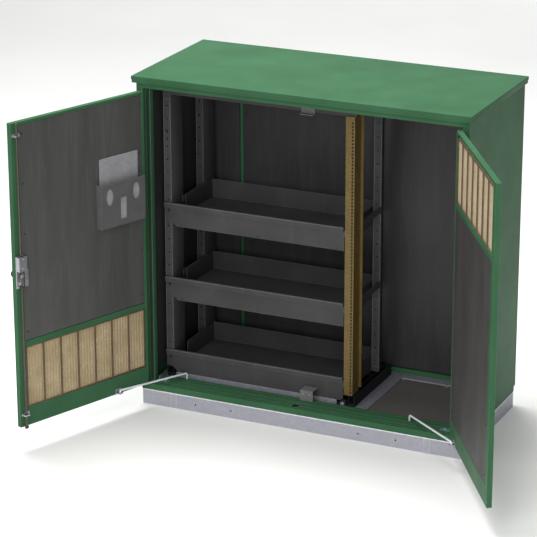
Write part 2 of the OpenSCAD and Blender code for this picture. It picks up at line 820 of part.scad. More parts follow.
module upper_rod() {
  swing_left() lock_rod(lock_z + rod_neck, leaf_z1 + 1, lock_z - rack_short, lock_z + rack_long,
                        lock_z + rack_long - arm_t, 1);
}

module lower_rod() {
  swing_left() {
    lock_rod(leaf_z0 - 4, lock_z - rod_neck, lock_z - rack_long, lock_z + rack_short,
             lock_z - rack_long, -1);
    color(zinc) translate([lock_x - roller_w / 2, rod_y, leaf_z0 + 1]) rotate([0, 90, 0])
      cylinder(h = roller_w, r = roller_r, $fn = 32);
  }
}

// ---- door stays ----------------------------------------------------------------------

hook_leg = stay_z - ledge_z - 1;

module stay_bracket(x) {
  color(zinc) difference() {
    union() {
      span(x - ear_plate_x, x + ear_plate_x, leaf_in_y, leaf_in_y + sheet_t, leaf_z0, stay_z + 4);
      span(x - 9, x + 9, leaf_in_y, stay_y + 8, stay_z - 12, stay_z - 9);
    }
    translate([x, stay_y, stay_z - 14]) cylinder(h = 8, r = stay_r + pin_gap, $fn = 48);
  }
}

// Bent wire stay: a leg down into the door bracket, the rod, and the hook's leg.
module stay(len, a) {
  color("#c9ccd2") {
    translate([0, 0, -pivot_leg]) cylinder(h = pivot_leg, r = stay_r, $fn = 32);
    sphere(r = stay_r, $fn = 32);
    rotate([0, 0, a]) {
      rotate([0, 90, 0]) cylinder(h = len, r = stay_r, $fn = 32);
      translate([len, 0, 0]) sphere(r = stay_r, $fn = 32);
      translate([len, 0, -hook_leg]) cylinder(h = hook_leg, r = stay_r, $fn = 32);
    }
  }
}

module left_stay_bracket() { swing_left() stay_bracket(left_stay_x); }
module right_stay_bracket() { swing_right() stay_bracket(right_stay_x); }

module left_stay() {
  swing_left() translate([left_stay_x, stay_y, stay_z]) stay(left_stay_len, left_stay_park);
}

module right_stay() {
  swing_right() translate([right_stay_x, stay_y, stay_z]) stay(right_stay_len, right_stay_park);
}

plinth();
anchor_washers();
floor_frame();
gland_plate();
rack_floor_plate();
front_sill();
rear_sill();
left_wall();
right_wall();
left_jamb();
right_jamb();
header();
rear_frame();
rear_panel();
rear_panel_liner();
rear_side_liners();
left_liner();
right_liner();
roof();
ceiling_liner();
jamb_seals();
strike_brackets();
sill_hinge_brackets();
rack_base();
rack_front_strip();
post_front_left();
post_rear_left();
post_rear_right();
perforated_upright();
upright_brackets();
rack_side_rails();
rack_top_frame();
tray_bottom();
tray_middle();
tray_top();
rack_screws();
left_hinge_knuckles();
right_hinge_knuckles();
left_door_shell();
left_door_liner();
left_door_rail();
left_filter();
left_filter_ribs();
document_pocket();
diagram_card();
lock_case();
rod_guides();
lock_pinion();
door_handle();
upper_rod();
lower_rod();
left_stay_bracket();
left_stay();
right_door_shell();
right_door_liner();
right_door_rail();
right_filter();
right_filter_ribs();
right_stay_bracket();
right_stay();
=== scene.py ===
"""Looks of a roadside equipment cabinet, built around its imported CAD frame.

The cabinet is folded sheet steel in green powder coat on a galvanised plinth. Each
sub-assembly is a class, each finish is a frozen dataclass, and main() builds them in order.
"""

import json
import logging
import math
from dataclasses import dataclass, field
from enum import Enum
from typing import Any, Iterable, Sequence

import bmesh
import bpy
from mathutils import Matrix, Vector

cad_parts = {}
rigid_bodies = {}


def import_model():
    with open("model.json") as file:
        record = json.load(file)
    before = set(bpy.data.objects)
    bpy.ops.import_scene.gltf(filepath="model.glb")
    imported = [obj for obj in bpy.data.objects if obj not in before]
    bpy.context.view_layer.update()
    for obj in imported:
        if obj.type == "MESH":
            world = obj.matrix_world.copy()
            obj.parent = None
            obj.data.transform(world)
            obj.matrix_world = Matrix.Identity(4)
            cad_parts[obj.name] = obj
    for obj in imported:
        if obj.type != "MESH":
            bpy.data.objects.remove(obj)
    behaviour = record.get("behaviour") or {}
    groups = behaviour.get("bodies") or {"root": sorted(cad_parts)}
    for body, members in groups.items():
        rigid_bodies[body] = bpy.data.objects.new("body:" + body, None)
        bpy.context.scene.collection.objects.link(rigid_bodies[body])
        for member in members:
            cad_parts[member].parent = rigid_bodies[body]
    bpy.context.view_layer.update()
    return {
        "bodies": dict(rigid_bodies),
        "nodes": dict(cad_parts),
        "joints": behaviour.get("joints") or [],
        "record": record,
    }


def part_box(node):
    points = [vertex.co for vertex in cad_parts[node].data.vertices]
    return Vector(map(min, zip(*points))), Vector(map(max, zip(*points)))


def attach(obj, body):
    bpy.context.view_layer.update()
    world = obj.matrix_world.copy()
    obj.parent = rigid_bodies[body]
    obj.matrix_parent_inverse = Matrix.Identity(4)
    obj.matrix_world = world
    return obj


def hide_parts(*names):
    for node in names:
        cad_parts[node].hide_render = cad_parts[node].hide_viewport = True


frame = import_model()

MM = 0.001
SHEET = 2.0 * MM
UP = Vector((0.0, 0.0, 1.0))
FRONT = Vector((0.0, -1.0, 0.0))
BACK = Vector((0.0, 1.0, 0.0))

BMesh = bmesh.types.BMesh
BMVert = bmesh.types.BMVert
BMEdge = bmesh.types.BMEdge
NodeTree = bpy.types.NodeTree
Socket = bpy.types.NodeSocket

logging.basicConfig(level=logging.INFO, format="%(message)s")
log = logging.getLogger("cabinet")


class Body(str, Enum):
    """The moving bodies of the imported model."""

    CABINET = "cabinet"
    LEFT_DOOR = "left_door"
    RIGHT_DOOR = "right_door"
    LOCK = "lock"
    UPPER_ROD = "upper_rod"
    LOWER_ROD = "lower_rod"
    LEFT_STAY = "left_stay"
    RIGHT_STAY = "right_stay"


# ---- finishes ----


def linear(hex_colour: str) -> tuple[float, float, float, float]:
    """Turns an sRGB hex colour into linear RGBA.

    Args:
        hex_colour: Six hex digits with a leading hash.

    Returns:
        Linear red, green, blue and an alpha of 1.
    """
    channels = [int(hex_colour[i : i + 2], 16) / 255 for i in (1, 3, 5)]
    r, g, b = (c / 12.92 if c <= 0.04045 else ((c + 0.055) / 1.055) ** 2.4 for c in channels)
    return (r, g, b, 1.0)


def per_metre(size_mm: float) -> float:
    """Gives the texture scale whose features are about size_mm wide."""
    return 1.0 / (size_mm * MM)


def add_node(
    tree: NodeTree, kind: str, settings: dict[str | int, Any] | None = None,
    links: dict[str | int, Socket] | None = None,
) -> bpy.types.Node:
    """Adds one shader node with its settings and links.

    Args:
        tree: The material's node tree.
        kind: The node's type name without its ShaderNode prefix.
        settings: Values by attribute name, input name or input number.
        links: Output sockets by input name or input number.

    Returns:
        The new node.
    """
    node = tree.nodes.new("ShaderNode" + kind)
    for key, value in (settings or {}).items():
        if isinstance(key, int) or key in node.inputs:
            node.inputs[key].default_value = value
        else:
            setattr(node, key, value)
    for key, socket in (links or {}).items():
        tree.links.new(socket, node.inputs[key])
    return node


@dataclass(frozen=True)
class Finish:
    """A surface: how it was made decides its pattern, and its fields decide its look."""

    name: str
    slot: str
    base: str
    shade: str
    roughness: float = 0.5
    roughness_spread: float = 0.12
    metallic: float = 0.0
    patch_mm: float = 160.0
    grain_mm: float = 1.6
    grain_height_mm: float = 0.05
    edge: str | None = None
    edge_mm: float = 1.6

    def build(self) -> bpy.types.Material:
        """Makes the material with all its nodes."""
        material = bpy.data.materials.new(self.name)
        material.use_nodes = True
        tree = material.node_tree
        tree.nodes.clear()
        coord = add_node(tree, "TexCoord").outputs["Object"]
        colour, height = self.pattern(tree, coord)
        colour = self.edge_wear_and_highlight(tree, colour)
        relief = {"Strength": 0.6, "Distance": self.grain_height_mm * MM}
        bump = add_node(tree, "Bump", relief, {"Height": height})
        patches = self.noise(tree, coord, self.patch_mm * 0.6, detail=5.0)
        low, high = self.roughness - self.roughness_spread, self.roughness + self.roughness_spread
        rough = add_node(tree, "MapRange", {"To Min": low, "To Max": high}, {"Value": patches})
        links = {"Base Color": colour, "Roughness": rough.outputs["Result"]}
        links["Normal"] = bump.outputs["Normal"]
        shader = add_node(tree, "BsdfPrincipled", {"Metallic": self.metallic}, links)
        self.tune(shader)
        add_node(tree, "OutputMaterial", links={"Surface": shader.outputs["BSDF"]})
        return material

    def noise(
        self, tree: NodeTree, coord: Socket, size_mm: float, detail: float = 3.0,
        stretch: Sequence[float] = (1.0, 1.0, 1.0),
    ) -> Socket:
        """Adds noise of a real size, drawn out along an axis where stretch is below 1.

        Returns:
            The noise value, from 0 to 1.
        """
        mapping = add_node(tree, "Mapping", {"Scale": tuple(stretch)}, {"Vector": coord})
        settings = {"Scale": per_metre(size_mm), "Detail": detail, "Roughness": 0.55}
        links = {"Vector": mapping.outputs["Vector"]}
        return add_node(tree, "TexNoise", settings, links).outputs["Fac"]

    def mix(
        self, tree: NodeTree, factor: Socket, low: Any, high: Any, start: float = 0.3,
        end: float = 0.7,
    ) -> Socket:
        """Mixes two colours, each a hex value or a socket, as factor goes from start to end.

        Returns:
            The mixed colour.
        """
        shaped = add_node(tree, "MapRange", {"From Min": start, "From Max": end}, {"Value": factor})
        node = add_node(tree, "Mix", {"data_type": "RGBA"}, {0: shaped.outputs["Result"]})
        for slot, colour in ((6, low), (7, high)):
            if isinstance(colour, str):
                node.inputs[slot].default_value = linear(colour)
            else:
                tree.links.new(colour, node.inputs[slot])
        return node.outputs[2]

    def edge_wear_and_highlight(self, tree: NodeTree, colour: Socket) -> Socket:
        """Lightens the colour along folded edges: partly a thin, rubbed coat and partly a painted
        highlight where the folds catch the light.
        """
        if self.edge is None:
            return colour
        rounded = add_node(tree, "Bevel", {"samples": 4, "Radius": self.edge_mm * MM})
        flat = add_node(tree, "NewGeometry").outputs["Normal"]
        normals = {0: rounded.outputs["Normal"], 1: flat}
        turned = add_node(tree, "VectorMath", {"operation": "DOT_PRODUCT"}, normals)
        links = {1: turned.outputs["Value"]}
        sharp = add_node(tree, "Math", {"operation": "SUBTRACT", 0: 1.0}, links)
        return self.mix(tree, sharp.outputs["Value"], colour, self.edge, 0.01, 0.3)

    def pattern(self, tree: NodeTree, coord: Socket) -> tuple[Socket, Socket]:
        """Gives the colour and the height. The plain one is a mottled, finely grained coat."""
        patches = self.noise(tree, coord, self.patch_mm)
        colour = self.mix(tree, patches, self.base, self.shade)
        return colour, self.noise(tree, coord, self.grain_mm, detail=2.0)

    def tune(self, shader: bpy.types.Node) -> None:
        """Sets the shader's uniform sockets. The plain finish leaves them as they are."""


@dataclass(frozen=True)
class PowderCoat(Finish):
    """Polyester powder coat, baked on steel: an orange-peel skin with dust in vertical runs."""

    dust: str = "#8a9a86"
    dust_start: float = 0.62
    gloss: float = 0.07

    def pattern(self, tree: NodeTree, coord: Socket) -> tuple[Socket, Socket]:
        """Gives the mottled coat with its dust runs, and the peel's height."""
        patches = self.noise(tree, coord, self.patch_mm)
        colour = self.mix(tree, patches, self.base, self.shade)
        runs = self.noise(tree, coord, 26.0, detail=4.0, stretch=(1.0, 1.0, 0.09))
        colour = self.mix(tree, runs, colour, self.dust, self.dust_start, self.dust_start + 0.35)
        specks = self.noise(tree, coord, 3.0, detail=1.0)
        colour = self.mix(tree, specks, colour, self.shade, 0.64, 0.95)
        return colour, self.noise(tree, coord, self.grain_mm, detail=1.5)

    def tune(self, shader: bpy.types.Node) -> None:
        """Gives the coat its gloss."""
        shader.inputs["Specular IOR Level"].default_value = self.gloss


@dataclass(frozen=True)
class LinerSheet(Finish):
    """Satin coated steel facing on insulation: vertical roller streaks and a faint pillowing."""

    streak: str = "#5c5b5a"

    def pattern(self, tree: NodeTree, coord: Socket) -> tuple[Socket, Socket]:
        """Gives the streaked grey and the pillowed height."""
        broad = self.noise(tree, coord, 60.0, detail=4.0, stretch=(1.0, 1.0, 0.12))
        colour = self.mix(tree, broad, self.shade, self.base, 0.35, 0.65)
        fine = self.noise(tree, coord, 9.0, detail=5.0, stretch=(1.0, 1.0, 0.05))
        colour = self.mix(tree, fine, colour, self.streak, 0.56, 0.85)
        scuffs = self.noise(tree, coord, 22.0, detail=8.0, stretch=(1.0, 1.0, 0.3))
        colour = self.mix(tree, scuffs, colour, self.streak, 0.66, 0.8)
        return colour, self.noise(tree, coord, 45.0, detail=2.0, stretch=(1.0, 1.0, 0.35))


@dataclass(frozen=True)
class ZincCoat(Finish):
    """Zinc on steel: crystals of several greys when hot dipped, a fine drawn grain when plated."""

    spangle_mm: float = 9.0
    drawn: tuple[float, float, float] = (1.0, 1.0, 1.0)

    def pattern(self, tree: NodeTree, coord: Socket) -> tuple[Socket, Socket]:
        """Gives the crystals' greys with cloudy oxide, and their height."""
        settings = {"Scale": per_metre(self.spangle_mm), "Randomness": 1.0}
        cells = add_node(tree, "TexVoronoi", settings, {"Vector": coord})
        parted = add_node(tree, "SeparateColor", links={"Color": cells.outputs["Color"]})
        colour = self.mix(tree, parted.outputs["Red"], self.base, self.shade, 0.0, 1.0)
        clouds = self.noise(tree, coord, self.patch_mm, detail=6.0)
        colour = self.mix(tree, clouds, colour, self.shade, 0.5, 0.8)
        return colour, self.noise(tree, coord, self.grain_mm, detail=3.0, stretch=self.drawn)


@dataclass(frozen=True)
class Fleece(Finish):
    """Thermally bonded polyester filter fleece: a tangle of fibres with dust caught in it."""

    def pattern(self, tree: NodeTree, coord: Socket) -> tuple[Socket, Socket]:
        """Gives the dusty fibre colour and the fibres' height."""
        dust = self.noise(tree, coord, self.patch_mm, detail=6.0)
        colour = self.mix(tree, dust, self.base, self.shade, 0.35, 0.75)
        along = self.noise(tree, coord, self.grain_mm, detail=4.0, stretch=(1.0, 1.0, 0.25))
        across = self.noise(tree, coord, self.grain_mm, detail=4.0, stretch=(0.3, 0.3, 1.0))
        both = add_node(tree, "Math", {"operation": "ADD"}, {0: along, 1: across})
        fibres = both.outputs["Value"]
        colour = self.mix(tree, fibres, self.shade, colour, 0.75, 1.1)
        return colour, fibres

    def tune(self, shader: bpy.types.Node) -> None:
        """Gives the fibres their soft sheen."""
        shader.inputs["Sheen Weight"].default_value = 0.25


# Each finish's edge colour is laid along its folds: partly rubbed coat, partly a painted highlight.
GREEN = PowderCoat(
    "polyester_powder_green", "green_paint", "#3b6446", "#345a3e", 0.42, 0.08, edge="#648a6c",
    dust="#446c4e", dust_start=0.66,
)
RACK_GREY = PowderCoat(
    "polyester_powder_grey", "rack_paint", "#4a4a4b", "#404041", 0.46, 0.1, edge="#858586",
    dust="#565657",
)
# A lighter copy of the rack paint for the lip beads: a painted highlight along the trays' top
# edges.
RACK_LIP_HIGHLIT = PowderCoat(
    "polyester_powder_grey_painted_highlight", "rack_paint", "#666667", "#59595a", 0.4, 0.1, edge="#949495",
    dust="#6f6f70",
)
BLACK = PowderCoat(
    "epoxy_powder_black", "dark_steel", "#2c2c2f", "#222224", 0.5, edge="#5a5a5c", dust="#454547",
)
BRACKET_GREY = PowderCoat(
    "polyester_powder_light_grey", "bracket_grey", "#757574", "#666665", 0.45, edge="#a8a8a6",
    dust="#82827f",
)
FLOOR_PRIMER = PowderCoat(
    "epoxy_primer_brown_grey", "floor_sheet", "#686563", "#605d5b", 0.62, dust="#716e6b",
    dust_start=0.6, gloss=0.1,
)
HINGE_BLUE = ZincCoat(
    "blue_passivated_zinc", "hinge_blue", "#86aab0", "#6c9298", 0.38, metallic=0.55,
    spangle_mm=5.0, patch_mm=30.0,
)
# A darker copy of the liner sheet for the cabinet's inside: painted shade.
INTERIOR_LINER_SHADED = LinerSheet(
    "coil_coated_liner_painted_shade", "grey_liner", "#313131", "#272727", 0.55, 0.1, grain_height_mm=0.5,
    streak="#424140",
)
# A darker, slightly warmer copy of the door liner for the right leaf: painted shade with a warm
# tint.
DOOR_LINER_WARM_SHADED = LinerSheet(
    "coil_coated_liner_warm_painted_shade", "grey_liner", "#3b3937", "#32302f", 0.55, 0.1, grain_height_mm=0.5,
    streak="#4e4b48",
)
DOOR_LINER = LinerSheet(
    "coil_coated_liner_grey", "grey_liner", "#4c4c4b", "#424241", 0.5, 0.1, grain_height_mm=0.5,
    streak="#5b5a58",
)
# The hem's near-white zinc is a painted highlight along the plinth's top edges.
HEM_ZINC_HIGHLIGHT = ZincCoat(
    "galvanised_hem_painted_highlight", "plinth_zinc", "#e3e3ea", "#d2d2da", 0.4, metallic=0.15,
    patch_mm=60.0,
)
# The plinth's near-white edge colour is a painted highlight along its folds.
PLINTH_ZINC = ZincCoat(
    "hot_dip_galvanised_steel", "plinth_zinc", "#a9a9b2", "#9f9fa9", 0.55, metallic=0.2,
    patch_mm=120.0, edge="#e2e2ea", edge_mm=2.5,
)
FRAME_ZINC = ZincCoat(
    "galvanised_sheet", "frame_zinc", "#9a9aa4", "#878792", 0.5, metallic=0.3, patch_mm=70.0,
    edge="#c6c6cf",
)
BRIGHT_ZINC = ZincCoat(
    "bright_zinc_plate", "bright_zinc", "#bcbdc2", "#a2a3a9", 0.3, 0.08, metallic=0.9,
    spangle_mm=2.5, patch_mm=25.0, edge="#e4e4e8", edge_mm=0.8,
)
YELLOW_ZINC = ZincCoat(
    "yellow_chromated_zinc", "yellow_zinc", "#75602e", "#5b4a23", 0.45, metallic=0.3,
    spangle_mm=3.0, patch_mm=48.0,
)
WIRE = ZincCoat(
    "drawn_steel_wire", "stay_wire", "#f0f1f4", "#d9dbe0", 0.35, 0.08, metallic=0.2,
    spangle_mm=2.0, patch_mm=20.0,
)
ROD_STEEL = ZincCoat(
    "oiled_steel_rod", "rod_steel", "#5e504b", "#4a3f3b", 0.4, metallic=0.5, spangle_mm=2.0,
    patch_mm=30.0, drawn=(1.0, 1.0, 0.1),
)
FLEECE = Fleece(
    "bonded_polyester_fleece", "filter_media", "#b5a180", "#94825f", 0.9, 0.05, patch_mm=70.0,
    grain_mm=2.4, grain_height_mm=0.8,
)
RIB_BROWN = Finish(
    "moulded_abs_brown", "rib_plastic", "#5d4d38", "#4d3f2d", 0.5, 0.08, patch_mm=40.0,
    grain_mm=1.0,
)
POCKET_GREY = Finish(
    "moulded_polystyrene_grey", "pocket_grey", "#5a5a5b", "#515152", 0.5, 0.08, patch_mm=60.0,
    grain_mm=1.2, edge="#8a8a8c", edge_mm=1.2,
)
CARD = Finish(
    "sleeved_paper", "card", "#98989a", "#8c8c8f", 0.28, 0.08, patch_mm=50.0, grain_mm=14.0,
    grain_height_mm=0.4,
)
SEAL_RUBBER = Finish(
    "epdm_foam_rubber", "seal_rubber", "#202021", "#181819", 0.85, 0.08, patch_mm=20.0,
    grain_mm=0.8, grain_height_mm=0.15,
)
STUDIO_FLOOR = Finish(
    "studio_floor", "", "#f1f1ef", "#ecece9", 0.9, 0.04, patch_mm=900.0, grain_mm=6.0,
)


# ---- shaping ----


def block(bm: BMesh, low: Sequence[float], high: Sequence[float]) -> list[BMVert]:
    """Adds a box between two corners, in metres.

    Returns:
        Its vertices.
    """
    a, b = Vector(low), Vector(high)
    place = Matrix.LocRotScale((a + b) / 2, None, b - a)
    return bmesh.ops.create_cube(bm, size=1.0, matrix=place)["verts"]


def barrel(
    bm: BMesh, start: Sequence[float], end: Sequence[float], radius: float, sides: int = 24,
    end_radius: float | None = None,
) -> list[BMVert]:
    """Adds a closed cylinder or cone from one point to another.

    Returns:
        Its vertices.
    """
    a, b = Vector(start), Vector(end)
    turn = (b - a).to_track_quat("Z", "Y")
    place = Matrix.LocRotScale((a + b) / 2, turn, None)
    return bmesh.ops.create_cone(
        bm, cap_ends=True, segments=sides, radius1=radius, depth=(b - a).length, matrix=place,
        radius2=radius if end_radius is None else end_radius,
    )["verts"]


def edges_of(verts: Iterable[BMVert]) -> list[BMEdge]:
    """Gives the edges that lie between the vertices."""
    chosen = set(verts)
    return list({e for v in chosen for e in v.link_edges if e.other_vert(v) in chosen})


def bevel(bm: BMesh, edges: list[BMEdge], width: float, segments: int) -> dict[str, Any]:
    """Rounds edges.

    Returns:
        What the operator made.
    """
    return bmesh.ops.bevel(
        bm, geom=edges, offset=width, offset_type="OFFSET", segments=segments, profile=0.5,
        affect="EDGES", material=-1, clamp_overlap=True,
    )


def round_edges(
    bm: BMesh, edges: Iterable[BMEdge], width: float, segments: int = 2,
    sharper_than: float = math.radians(28),
) -> None:
    """Bevels the edges whose faces meet at more than a given angle."""
    sharp = [e for e in edges if len(e.link_faces) == 2 and e.calc_face_angle(0.0) > sharper_than]
    if sharp:
        bevel(bm, sharp, width, segments)


def soft_block(
    bm: BMesh, low: Sequence[float], high: Sequence[float], width: float, segments: int = 2
) -> None:
    """Adds a box with rounded edges."""
    round_edges(bm, edges_of(block(bm, low, high)), width, segments)


def screw_head(bm: BMesh, seat: Vector, out: Vector, radius: float, sides: int = 16) -> None:
    """Adds a domed screw head with a socket.

    Args:
        bm: The mesh that takes it.
        seat: The middle of its underside.
        out: The direction that it faces.
        radius: Its radius in metres.
        sides: The number of facets round it.
    """
    out = out.normalized()
    verts = barrel(bm, seat, seat + out * radius * 0.62, radius, sides)
    top = [f for f in {f for v in verts for f in v.link_faces} if f.normal.dot(out) > 0.9]
    rim = [e for f in top for e in f.edges]
    made = bevel(bm, rim, radius * 0.34, 3)
    around = {f for v in made["verts"] for f in v.link_faces}
    cap = max((f for f in around if f.normal.dot(out) > 0.98), key=lambda f: f.calc_area())
    bmesh.ops.inset_individual(bm, faces=[cap], thickness=radius * 0.22, depth=0.0)
    bmesh.ops.inset_individual(bm, faces=[cap], thickness=radius * 0.03, depth=-radius * 0.3)


def punched_strip(
    bm: BMesh, width: float, pitch: float, count: int, hole_at: float, hole_radius: float,
    place: Matrix, sides: int = 12, border_parts: int = 1,
) -> None:
    """Adds a strip along +Z with a row of holes, as a skin with no thickness.

    Args:
        bm: The mesh that takes it.
        width: Width along the strip's own +X.
        pitch: Distance between holes, and the height of one cell.
        count: Number of cells.
        hole_at: Distance of the holes from the strip's left edge.
        hole_radius: Radius of a hole.
        place: Where the strip's lower left corner and axes lie.
        sides: Number of sides of a hole.
        border_parts: Number of edges up each side of a cell, to meet a finer strip.
    """
    cell = bmesh.new()
    heights = [pitch * i / border_parts for i in range(border_parts + 1)]
    corners = [cell.verts.new((width, 0.0, z)) for z in heights]
    corners += [cell.verts.new((0.0, 0.0, z)) for z in reversed(heights)]
    outline = [cell.edges.new((a, b)) for a, b in zip(corners, corners[1:] + corners[:1])]
    middle = Matrix.Translation((hole_at, 0.0, pitch / 2)) @ Matrix.Rotation(math.pi / 2, 4, "X")
    ring = bmesh.ops.create_circle(
        cell, cap_ends=False, segments=sides, radius=hole_radius, matrix=middle
    )
    outline += edges_of(ring["verts"])
    bmesh.ops.triangle_fill(cell, use_beauty=True, use_dissolve=False, edges=outline)
    template = cell.faces[:] + cell.edges[:] + cell.verts[:]
    for i in range(1, count):
        copy = bmesh.ops.duplicate(cell, geom=template)["geom"]
        moved = [g for g in copy if isinstance(g, BMVert)]
        bmesh.ops.translate(cell, verts=moved, vec=(0.0, 0.0, i * pitch))
    bmesh.ops.remove_doubles(cell, verts=cell.verts, dist=0.01 * MM)
    bmesh.ops.transform(cell, matrix=place, verts=cell.verts)
    join(bm, cell)


def join(bm: BMesh, other: BMesh) -> None:
    """Moves all of another bmesh into this one and frees it."""
    mesh = bpy.data.meshes.new("join")
    other.to_mesh(mesh)
    other.free()
    bm.from_mesh(mesh)
    bpy.data.meshes.remove(mesh)


class BentWire:
    """A round wire that grows by straight runs and bends, as on a bending jig."""

    def __init__(self, start: Vector, heading: Vector, radius: float, sides: int = 14) -> None:
        """Starts the wire at a point with a heading."""
        self.bm = bmesh.new()
        self.point = start.copy()
        self.heading = heading.normalized()
        turn = self.heading.to_track_quat("Z", "Y")
        place = Matrix.LocRotScale(start, turn, None)
        ring = bmesh.ops.create_circle(
            self.bm, cap_ends=True, segments=sides, radius=radius, matrix=place
        )
        self.tip = edges_of(ring["verts"])

    def grow(self, move: Matrix) -> None:
        """Extrudes the wire's tip and moves the new ring."""
        made = bmesh.ops.extrude_edge_only(self.bm, edges=self.tip)["geom"]
        ring = [g for g in made if isinstance(g, BMVert)]
        bmesh.ops.transform(self.bm, matrix=move, verts=ring)
        self.tip = edges_of(ring)

    def run(self, length: float) -> "BentWire":
        """Adds a straight run."""
        self.grow(Matrix.Translation(self.heading * length))
        self.point += self.heading * length
        return self

    def bend(self, towards: Vector, radius: float, steps: int = 6) -> "BentWire":
        """Bends the wire a quarter turn towards a direction square to its heading."""
        towards = towards.normalized()
        centre = self.point + towards * radius
        axis = self.heading.cross(towards)
        step = Matrix.Rotation(math.pi / 2 / steps, 4, axis)
        move = Matrix.Translation(centre) @ step @ Matrix.Translation(-centre)
        for _ in range(steps):
            self.grow(move)
        self.point = centre + self.heading * radius
        self.heading = towards
        return self

    def cut(self) -> BMesh:
        """Closes the tip with a small chamfer and gives the wire's mesh."""
        bmesh.ops.edgeloop_fill(self.bm, edges=self.tip)
        bmesh.ops.recalc_face_normals(self.bm, faces=self.bm.faces)
        caps = [e for f in self.bm.faces if len(f.verts) > 4 for e in f.edges]
        round_edges(self.bm, caps, 0.6 * MM, 1)
        return self.bm


class Workshop:
    """Turns bmesh solids and CAD nodes into named pieces with a finish."""

    def __init__(self, loaded: dict[str, Any]) -> None:
        """Keeps the loaded frame and an empty rack of finishes."""
        self.nodes: dict[str, bpy.types.Object] = loaded["nodes"]
        self.joints = {j["name"]: j for j in loaded["joints"]}
        self.finishes: dict[Finish, bpy.types.Material] = {}

    def material(self, finish: Finish) -> bpy.types.Material:
        """Gives the finish's material, made once."""
        if finish not in self.finishes:
            self.finishes[finish] = finish.build()
        return self.finishes[finish]

    def piece(
        self, name: str, bm: BMesh, body: Body, finish: Finish, replaces: Sequence[str] = (),
        smooth: float = 40.0,
    ) -> bpy.types.Object:
        """Makes a piece that rides on a body.

        Args:
            name: The piece's name.
            bm: Its mesh in the cabinet's frame, freed here.
            body: The body that it rides on.
            finish: Its surface.
            replaces: CAD nodes that it stands for.
            smooth: Edges flatter than this many degrees are shaded smooth.

        Returns:
            The new object.
        """
        mesh = bpy.data.meshes.new(name)
        for face in bm.faces:
            face.smooth = True
        bm.to_mesh(mesh)
        bm.free()
        mesh.set_sharp_from_angle(angle=math.radians(smooth))
        mesh.materials.append(self.material(finish))
        made = bpy.data.objects.new(name, mesh)
        bpy.context.scene.collection.objects.link(made)
        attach(made, body.value)
        if replaces:
            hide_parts(*replaces)
        log.info("%s: %d faces on %s", name, len(mesh.polygons), body.value)
        return made

    def refine(
        self, node: str, body: Body, finish: Finish, edge_mm: float, segments: int = 2
    ) -> None:
        """Replaces a CAD node with a merged copy whose folded edges are rounded.

        Args:
            node: The CAD node.
            body: The body that it belongs to.
            finish: Its surface.
            edge_mm: Width of the rounding.
            segments: Facets across the rounding.
        """
        bm = bmesh.new()
        bm.from_mesh(self.nodes[node].data)
        bmesh.ops.remove_doubles(bm, verts=bm.verts, dist=0.005 * MM)
        bmesh.ops.dissolve_limit(bm, angle_limit=math.radians(0.5), verts=bm.verts, edges=bm.edges)
        round_edges(bm, bm.edges[:], edge_mm * MM, segments)
        made = self.piece(node + "_formed", bm, body, finish, [node])
        level = made.modifiers.new("even shading", "WEIGHTED_NORMAL")
        level.keep_sharp = True


@dataclass
class Assembly:
    """A group of pieces that ride on one body."""

    shop: Workshop
    body: Body

    def piece(
        self, name: str, bm: BMesh, finish: Finish, *replaces: str, smooth: float = 40.0
    ) -> None:
        """Makes a piece on this body, which stands for the CAD nodes in replaces."""
        self.shop.piece(name, bm, self.body, finish, replaces, smooth)

    def refine(self, node: str, finish: Finish, edge_mm: float, segments: int = 2) -> None:
        """Replaces a CAD node of this body with a copy whose edges are rounded."""
        self.shop.refine(node, self.body, finish, edge_mm, segments)

    def heads(
        self, name: str, finish: Finish, seats: Iterable[Vector], out: Vector, radius_mm: float,
        sides: int = 16,
    ) -> None:
        """Makes one piece of equal screw heads that all face one way."""
        bm = bmesh.new()
        for seat in seats:
            screw_head(bm, seat, out, radius_mm * MM, sides)
        self.piece(name, bm, finish)


# ---- cabinet ----


